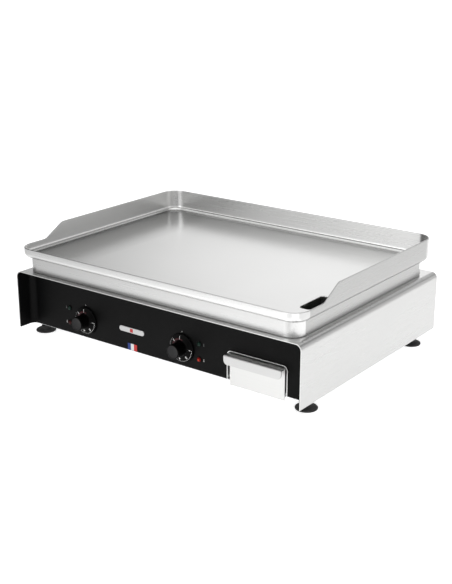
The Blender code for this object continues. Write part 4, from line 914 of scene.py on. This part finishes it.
def make_knob(side):
    centre = middle("knob_" + side)
    place = on_panel(centre.x, centre.z)
    body = "dial_" + side
    grip, top = KNOB_GRIP, KNOB_HEIGHT

    def across(spot):
        return math.hypot(spot.x - centre.x, spot.z - centre.z)

    def on_face(spot, normal):
        return across(spot) < grip - 0.0018 and PANEL_FACE - spot.y > top - 0.004

    profile = [(0.0, top - 0.0010), (grip - 0.0034, top - 0.0010), (grip - 0.0026, top - 0.0008)]
    profile += [(grip - 0.0020, top - 0.0001), (grip - 0.0016, top)]
    profile += arc((grip - 0.0012, top - 0.0012), 0.0012, 80, 0, 5)
    profile += [(grip + 0.0002, top - 0.006), (grip + 0.0005, 0.012), (grip + 0.0008, 0.0078)]
    profile += [(grip + 0.0011, 0.0066), (grip + 0.0016, 0.0059)] + [SKIRT_INNER, SKIRT_OUTER]
    profile += arc((KNOB_SKIRT - 0.0012, 0.0028), 0.0012, 70, 0, 4)
    profile += [(KNOB_SKIRT, KNOB_BACK + 0.0003), (KNOB_SKIRT - 0.0003, KNOB_BACK), (KNOB_BORE, KNOB_BACK)]
    profile += [(KNOB_BORE, KNOB_BORE_END), (0.0, KNOB_BORE_END)]
    knob = lathe_object("knob_body_" + side, profile, 96, place)
    # Painted light on the dial's front face.
    paint(knob, KNOB_BLACK, KNOB_FACE_PAINTED_LIGHT)
    paint_faces(knob, 1, on_face)
    settle(knob, body, "knob_plastic", "knob_" + side)

    bm = bmesh.new()
    add_arc_print(bm, place, 2, *POINTER)
    for i, angle in enumerate(NUMERAL_ANGLES):
        add_numeral(bm, str(i + 1), angle, place)
    for i in range(DIAL_DASHES):
        start = DASH_START + DASH_SPAN * i / DIAL_DASHES
        half = (DASH_WIDTH[0] + (DASH_WIDTH[1] - DASH_WIDTH[0]) * i / DIAL_DASHES) / 2
        add_arc_print(bm, place, 2, DASH_RADIUS - half, DASH_RADIUS + half, start, start + DASH_LENGTH)
    complete(loose_object("dial_print_" + side, bm), WHITE_INK, body, "label_film")

    bm = bmesh.new()
    add_arc_print(bm, place, 32, *RED_BAND)
    add_arc_print(bm, place, 28, *RED_LINE)
    red = loose_object("dial_red_arc_" + side, bm)
    paint(red, DARK_RED_INK, RED_INK)
    paint_faces(red, 1, lambda spot, normal: across(spot) > (RED_BAND[1] + RED_LINE[0]) / 2)
    settle(red, body, "label_film")


def make_lamp(colour, side, material, heart_material):
    """A domed lens in a thin black collar."""
    node = "lamp_%s_%s" % (colour, side)
    low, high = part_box(node)
    centre = (low + high) / 2
    place = on_panel(centre.x, centre.z)
    depth = PANEL_FACE - high.y
    lens_profile = [(0.0, 0.0034), (LAMP_LENS * 0.25, 0.00335), (LAMP_LENS * 0.5, 0.0031)]
    lens_profile += [(LAMP_LENS * 0.72, 0.0026), (LAMP_LENS * 0.90, 0.0019), (LAMP_LENS, 0.0010)]
    lens_profile += [(LAMP_LENS, depth), (0.0, depth)]
    glass = lathe_object("lens_%s_%s" % (colour, side), lens_profile, 40, place)
    paint(glass, material, heart_material)
    heart = LAMP_LENS * LAMP_HEART
    paint_faces(glass, 1, lambda spot, normal: math.hypot(spot.x - centre.x, spot.z - centre.z) < heart)
    settle(glass, "cabinet", colour + "_lens", node)
    inner = LAMP_LENS + 0.0001
    profile = [(inner, 0.0012), (LAMP_COLLAR - 0.0006, 0.0013), (LAMP_COLLAR - 0.0001, 0.0010)]
    profile += [(LAMP_COLLAR, 0.0006), (LAMP_COLLAR, GAP), (inner, GAP), (inner, 0.0012)]
    collar = lathe_object("lamp_collar_%s_%s" % (colour, side), profile, 40, place)
    complete(collar, KNOB_BLACK, "cabinet", "knob_plastic")


def make_panel_print():
    """The index tick over each dial and a plain stroke and dot beside each lamp."""
    strong, weak = bmesh.new(), bmesh.new()
    front, back = PANEL_FACE - PRINT, PANEL_FACE + PRINT
    for side in SIDES:
        knob = middle("knob_" + side)
        add_box(strong, (knob.x - MARK_HALF, front, knob.z + TICK[0]),
                (knob.x + MARK_HALF, back, knob.z + TICK[1]))
        for colour in ("green", "red"):
            lamp = middle("lamp_%s_%s" % (colour, side))
            ink = strong if colour == "red" else weak
            x = lamp.x + SYMBOL_SHIFT[side]
            add_box(ink, (x - MARK_HALF, front, lamp.z - 0.0004), (x + MARK_HALF, back, lamp.z + 0.0028))
            add_prism(ink, disc((x, lamp.z - 0.0014), 0.0008, 16), front, back, "XZ")
    complete(loose_object("panel_marks", strong), WHITE_INK, "cabinet", "label_film")
    complete(loose_object("panel_marks_grey", weak), GREY_INK, "cabinet", "label_film")


def make_badge():
    """A plain pale pill with a plain bar across its middle; it carries no lettering."""
    outline = rounded_rectangle(badge_low.xz, badge_high.xz, 0.0045, 10)
    badge = prism_object("badge", outline, badge_low.y, badge_high.y, "XZ")
    soften(badge, 0.0004, 3)
    complete(badge, BADGE_FACE, "cabinet", "label_film", "badge_plate")
    centre, size = middle("badge_plate").xz, (badge_high - badge_low).xz
    half = Vector((size.x * 0.06, size.y * 0.36))
    bar = rounded_rectangle(centre - half, centre + half, 0.0012, 5)
    item = prism_object("badge_bar", bar, badge_low.y - PRINT, badge_low.y + PRINT, "XZ")
    complete(item, BADGE_BAR, "cabinet", "label_film")


def make_label():
    """A small label with three plain upright bands."""
    width = (label_high.x - label_low.x) / len(BAND_INKS)
    for i, ink in enumerate(BAND_INKS):
        left = label_low.x + i * width
        outline = rounded_rectangle((left, label_low.z), (left + width, label_high.z), 0.0004, 3)
        band = prism_object("label_band_%d" % (i + 1), outline, label_low.y, label_high.y, "XZ")
        complete(band, ink, "cabinet", "label_film", *(["banded_label"] if i == 0 else []))


# ---- feet and gland

def make_foot_pad(foot):
    low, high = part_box("foot_pad_" + foot)
    centre = (low + high) / 2
    pad = (high.x - low.x) / 2
    top = high.z
    profile = [(0.0, 0.0040), (0.0043, 0.0040), (0.0043, top), (0.0074, top)]
    profile += arc((0.0074, top - 0.0012), 0.0012, 80, 10, 4) + [(0.0098, 0.0060), (0.0108, 0.0050)]
    profile += [(pad - 0.0024, 0.0040)] + arc((pad - 0.0012, 0.0020), 0.0012, 80, 0, 4)
    profile += [(pad, 0.0008), (pad - 0.0006, 0.0), (0.0, 0.0)]
    ribs = 36

    def ribbed(angle, radius, height):
        outer = radius > pad - 0.0010 and height > 0.0004
        return radius - (0.0003 * (0.5 + 0.5 * math.cos(ribs * angle)) if outer else 0.0)

    place = Matrix.Translation((centre.x, centre.y, low.z))
    item = lathe_object("foot_" + foot, profile, ribs * 4, place, ribbed)
    complete(item, RUBBER, "pad_" + foot, "foot_plastic", "foot_pad_" + foot)


def make_foot_stud(foot):
    """The threaded stud, with a screwdriver slot in its upper end."""
    low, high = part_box("foot_stud_" + foot)
    centre = (low + high) / 2
    radius, length = (high.x - low.x) / 2, high.z - low.z
    steps = round(length / STUD_PITCH * 6)

    def threaded(angle, radius, height):
        phase = (height / STUD_PITCH - angle / math.tau) % 1.0
        taper = min(1.0, height / 0.0012, (length - height) / 0.0012)
        return radius - STUD_THREAD * (abs(2 * phase - 1) * taper + 1 - taper)

    profile = [(0.0, 0.0)] + [(radius, length * i / steps) for i in range(steps + 1)] + [(0.0, length)]
    place = Matrix.Translation((centre.x, centre.y, low.z))
    stud = lathe_object("threaded_stud_" + foot, profile, 24, place, threaded)
    bm = bmesh.new()
    end = Vector((centre.x, centre.y, high.z))
    half = Vector((0.0006, MARGIN, 0.0015))
    add_box(bm, end - half, end + half)
    boolean(stud, loose_object("slot_cut", bm))
    shade(stud.data)
    complete(stud, ZINC, "stud_" + foot, "zinc_steel", "foot_stud_" + foot)


def make_gland():
    """The hollow supply gland: a fluted dome nut over a collar that is turned round."""
    centre = (gland_low + gland_high) / 2
    reach = gland_high.y - rear_face
    inside = gland_low.y - rear_face
    bore, thread, collar = 0.0045, 0.0098, (gland_high.x - gland_low.x) / 2
    profile = [(bore, reach), (0.0082, reach), (0.0100, reach - 0.0006), (0.0112, reach - 0.0022)]
    profile += [(0.0118, 0.0100), (0.0120, 0.0066), (0.0116, 0.0058), (collar - 0.0006, 0.0056)]
    profile += [(collar, 0.0050), (collar, 0.0008), (collar - 0.0005, GAP), (thread, GAP)]
    profile += [(thread, inside + 0.0005), (thread - 0.0005, inside), (bore, inside), (bore, reach)]

    def fluted(angle, radius, height):
        if 0.0060 < height < reach - 0.0010 and radius > thread:
            return radius - 0.0004 * (0.5 + 0.5 * math.cos(18 * angle))
        return radius

    place = Matrix.Translation((centre.x, rear_face, centre.z)) @ FACING_BACK
    gland = lathe_object("supply_gland", profile, 108, place, fluted)
    complete(gland, RUBBER, "cabinet", "foot_plastic", "cable_gland")


# ---- carried-over nodes

def carry_over():
    """The CAD nodes that stay: welded, with small round edges, and with a real finish."""
    plan = {
        "rear_panel": (REAR_STEEL, 0.0003), "base_pan": (ZINC, 0.0003), "drawer_tray": (TRAY_STEEL, 0.0002),
        "grease_chute": (INNER_STEEL, 0.0002), "heat_shield": (ZINC, 0.0002), "gland_nut": (ZINC, 0.0004),
        "insulation_mat": (WOOL, 0.0008), "terminal_block": (WHITE_PLASTIC, 0.0003),
    }
    by_side = {
        "spreader_": (ALUMINIUM, 0.0004), "element_": (SHEATH, 0.0), "element_clamp_": (ZINC, 0.0002),
        "clamp_bolt_front_": (ZINC, 0.0003), "clamp_bolt_rear_": (ZINC, 0.0003),
        "sensing_bulb_": (COPPER, 0.0), "thermostat_": (WHITE_PLASTIC, 0.0003),
        "thermostat_shaft_": (ZINC, 0.0), "drawer_rail_": (ZINC, 0.0002), "loom_": (BRAID, 0.0),
    }
    plan.update({name + side: finish for name, finish in by_side.items() for side in SIDES})
    plan.update({"foot_nut_" + foot: (ZINC, 0.0004) for foot in FEET})
    plan.update({"rear_screw_%d" % (i + 1): (ZINC, 0.0) for i in range(4)})
    for name, (material, width) in plan.items():
        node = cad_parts[name]
        for slot in node.material_slots:
            slot.material = material
        weld = node.modifiers.new("weld", "WELD")
        weld.merge_threshold = 0.000005
        if width:
            add_edges(node, width, 2)


# ---- studio

def stage_sheet(name, size, height, material):
    """A level sheet of the studio, which isn't part of the object."""
    bm = bmesh.new()
    add_grid(bm, [[(x, y, height) for x in (-size, size)] for y in (-size, size)])
    sheet = loose_object(name, bm)
    if sheet.data.polygons[0].normal.z < 0:
        sheet.data.flip_normals()
    paint(sheet, material)
    return sheet


def make_floor():
    finish = Finish("studio_paper", 0.9, 0.0, 0.1)
    finish.colour(finish.dapple(finish.noise(120, detail=3.0), (0.90, 0.90, 0.90), (0.93, 0.93, 0.93)))
    finish.set("Emission Color", WHITE)
    finish.set("Emission Strength", FLOOR_GLOW)
    stage_sheet("studio_floor", 12.0, FLOOR_LEVEL, finish.material)


def make_light_pool():
    """What the steel sees of the floor: it darkens softly further off, and at one spot in front."""
    material = bpy.data.materials.new("studio_pool")
    material.use_nodes = True
    tree = material.node_tree
    tree.nodes.clear()
    place = add_node(tree, "TexCoord").outputs["Object"]
    depths = []
    for centre, radii, inside, outside in DIM_ZONES:
        away = add_node(tree, "VectorMath", {0: place, 1: (*centre, 0.0)}, operation="DISTANCE")
        depths.append(span(tree, away.outputs["Value"], inside, outside, *radii, "SMOOTHSTEP"))
    clear = add_node(tree, "BsdfTransparent").outputs["BSDF"]
    dim = add_node(tree, "Emission", {"Strength": DIM_LIGHT}).outputs["Emission"]
    mix = add_node(tree, "MixShader", {0: calculate(tree, "MAXIMUM", *depths), 1: clear, 2: dim})
    add_node(tree, "OutputMaterial", {"Surface": mix.outputs["Shader"]})
    pool = stage_sheet("studio_pool", 10.0, POOL_LEVEL, material)
    pool.visible_camera = False
    pool.visible_diffuse = False
    pool.visible_shadow = False


def add_glow(tree, direction, inner, outer, strength):
    """One soft area of the studio's walls, round a direction; angles are in degrees."""
    place = add_node(tree, "TexCoord").outputs["Generated"]
    towards = {0: place, 1: Vector(direction).normalized()}
    dot = add_node(tree, "VectorMath", towards, operation="DOT_PRODUCT")
    ends = [math.cos(math.radians(angle)) for angle in (outer, inner)]
    return span(tree, dot.outputs["Value"], 0.0, strength, *ends, "SMOOTHSTEP")


def low_band(tree):
    """Light all round the foot of the walls, less on the dark side, and faint above."""
    axes = add_node(tree, "SeparateXYZ", {"Vector": add_node(tree, "TexCoord").outputs["Generated"]})
    fade = span(tree, axes.outputs["Z"], BAND_LIGHT, WALL_LIGHT, *BAND_TOP, "SMOOTHSTEP")
    share = span(tree, add_glow(tree, *DARK_SIDE), 1.0, DARK_SIDE_LIGHT, 0.0, 1.0)
    return calculate(tree, "MULTIPLY", fade, share)


def make_studio():
    """Soft walls and ceiling that the steel mirrors, a white backdrop, and one wide soft key."""
    scene = bpy.context.scene
    scene.view_settings.view_transform = "Standard"
    world = bpy.data.worlds.new("studio")
    scene.world = world
    world.use_nodes = True
    tree = world.node_tree
    total = low_band(tree)
    for glow in WALL_GLOWS:
        total = calculate(tree, "ADD", total, add_glow(tree, *glow))
    walls = tree.nodes["Background"]
    walls.inputs["Color"].default_value = WHITE
    tree.links.new(total, walls.inputs["Strength"])
    backdrop = add_node(tree, "Background", {"Color": WHITE})
    seen = add_node(tree, "LightPath").outputs["Is Camera Ray"]
    mix = add_node(tree, "MixShader", {0: seen, 1: walls.outputs[0], 2: backdrop.outputs[0]})
    tree.links.new(mix.outputs["Shader"], tree.nodes["World Output"].inputs["Surface"])
    light = bpy.data.lights.new("soft_key", "SUN")
    light.energy = KEY_STRENGTH
    light.angle = math.radians(KEY_SOFTNESS)
    item = add_item("soft_key", light)
    item.visible_glossy = False
    item.rotation_euler = Vector(KEY_FROM).to_track_quat("Z", "Y").to_euler()


def make_camera():
    camera = bpy.data.cameras.new("camera")
    camera.lens = CAMERA_LENS
    camera.shift_x, camera.shift_y = CAMERA_SHIFT
    camera.clip_start = 0.05
    camera.clip_end = 60
    item = add_item("camera", camera)
    turn = Matrix.Rotation(CAMERA_AZIMUTH, 4, "Z") @ Matrix.Rotation(math.pi / 2 - CAMERA_PITCH, 4, "X")
    item.matrix_world = Matrix.Translation(CAMERA_PLACE) @ turn @ Matrix.Rotation(CAMERA_ROLL, 4, "Z")
    bpy.context.scene.camera = item


# ---- assembly

make_camera()
make_studio()
make_floor()
make_light_pool()
make_plate()
make_skirt()
make_casing()
make_front_panel()
make_surround()
make_drawer_front()
for side_name in SIDES:
    make_knob(side_name)
    lit = side_name == "right"
    make_lamp("green", side_name, GREEN_LENS, GREEN_LENS)
    make_lamp("red", side_name, RED_LENS_LIT if lit else RED_LENS, RED_LENS_HEART if lit else RED_LENS)
make_panel_print()
make_badge()
make_label()
for foot_name in FEET:
    make_foot_pad(foot_name)
    make_foot_stud(foot_name)
make_gland()
carry_over()
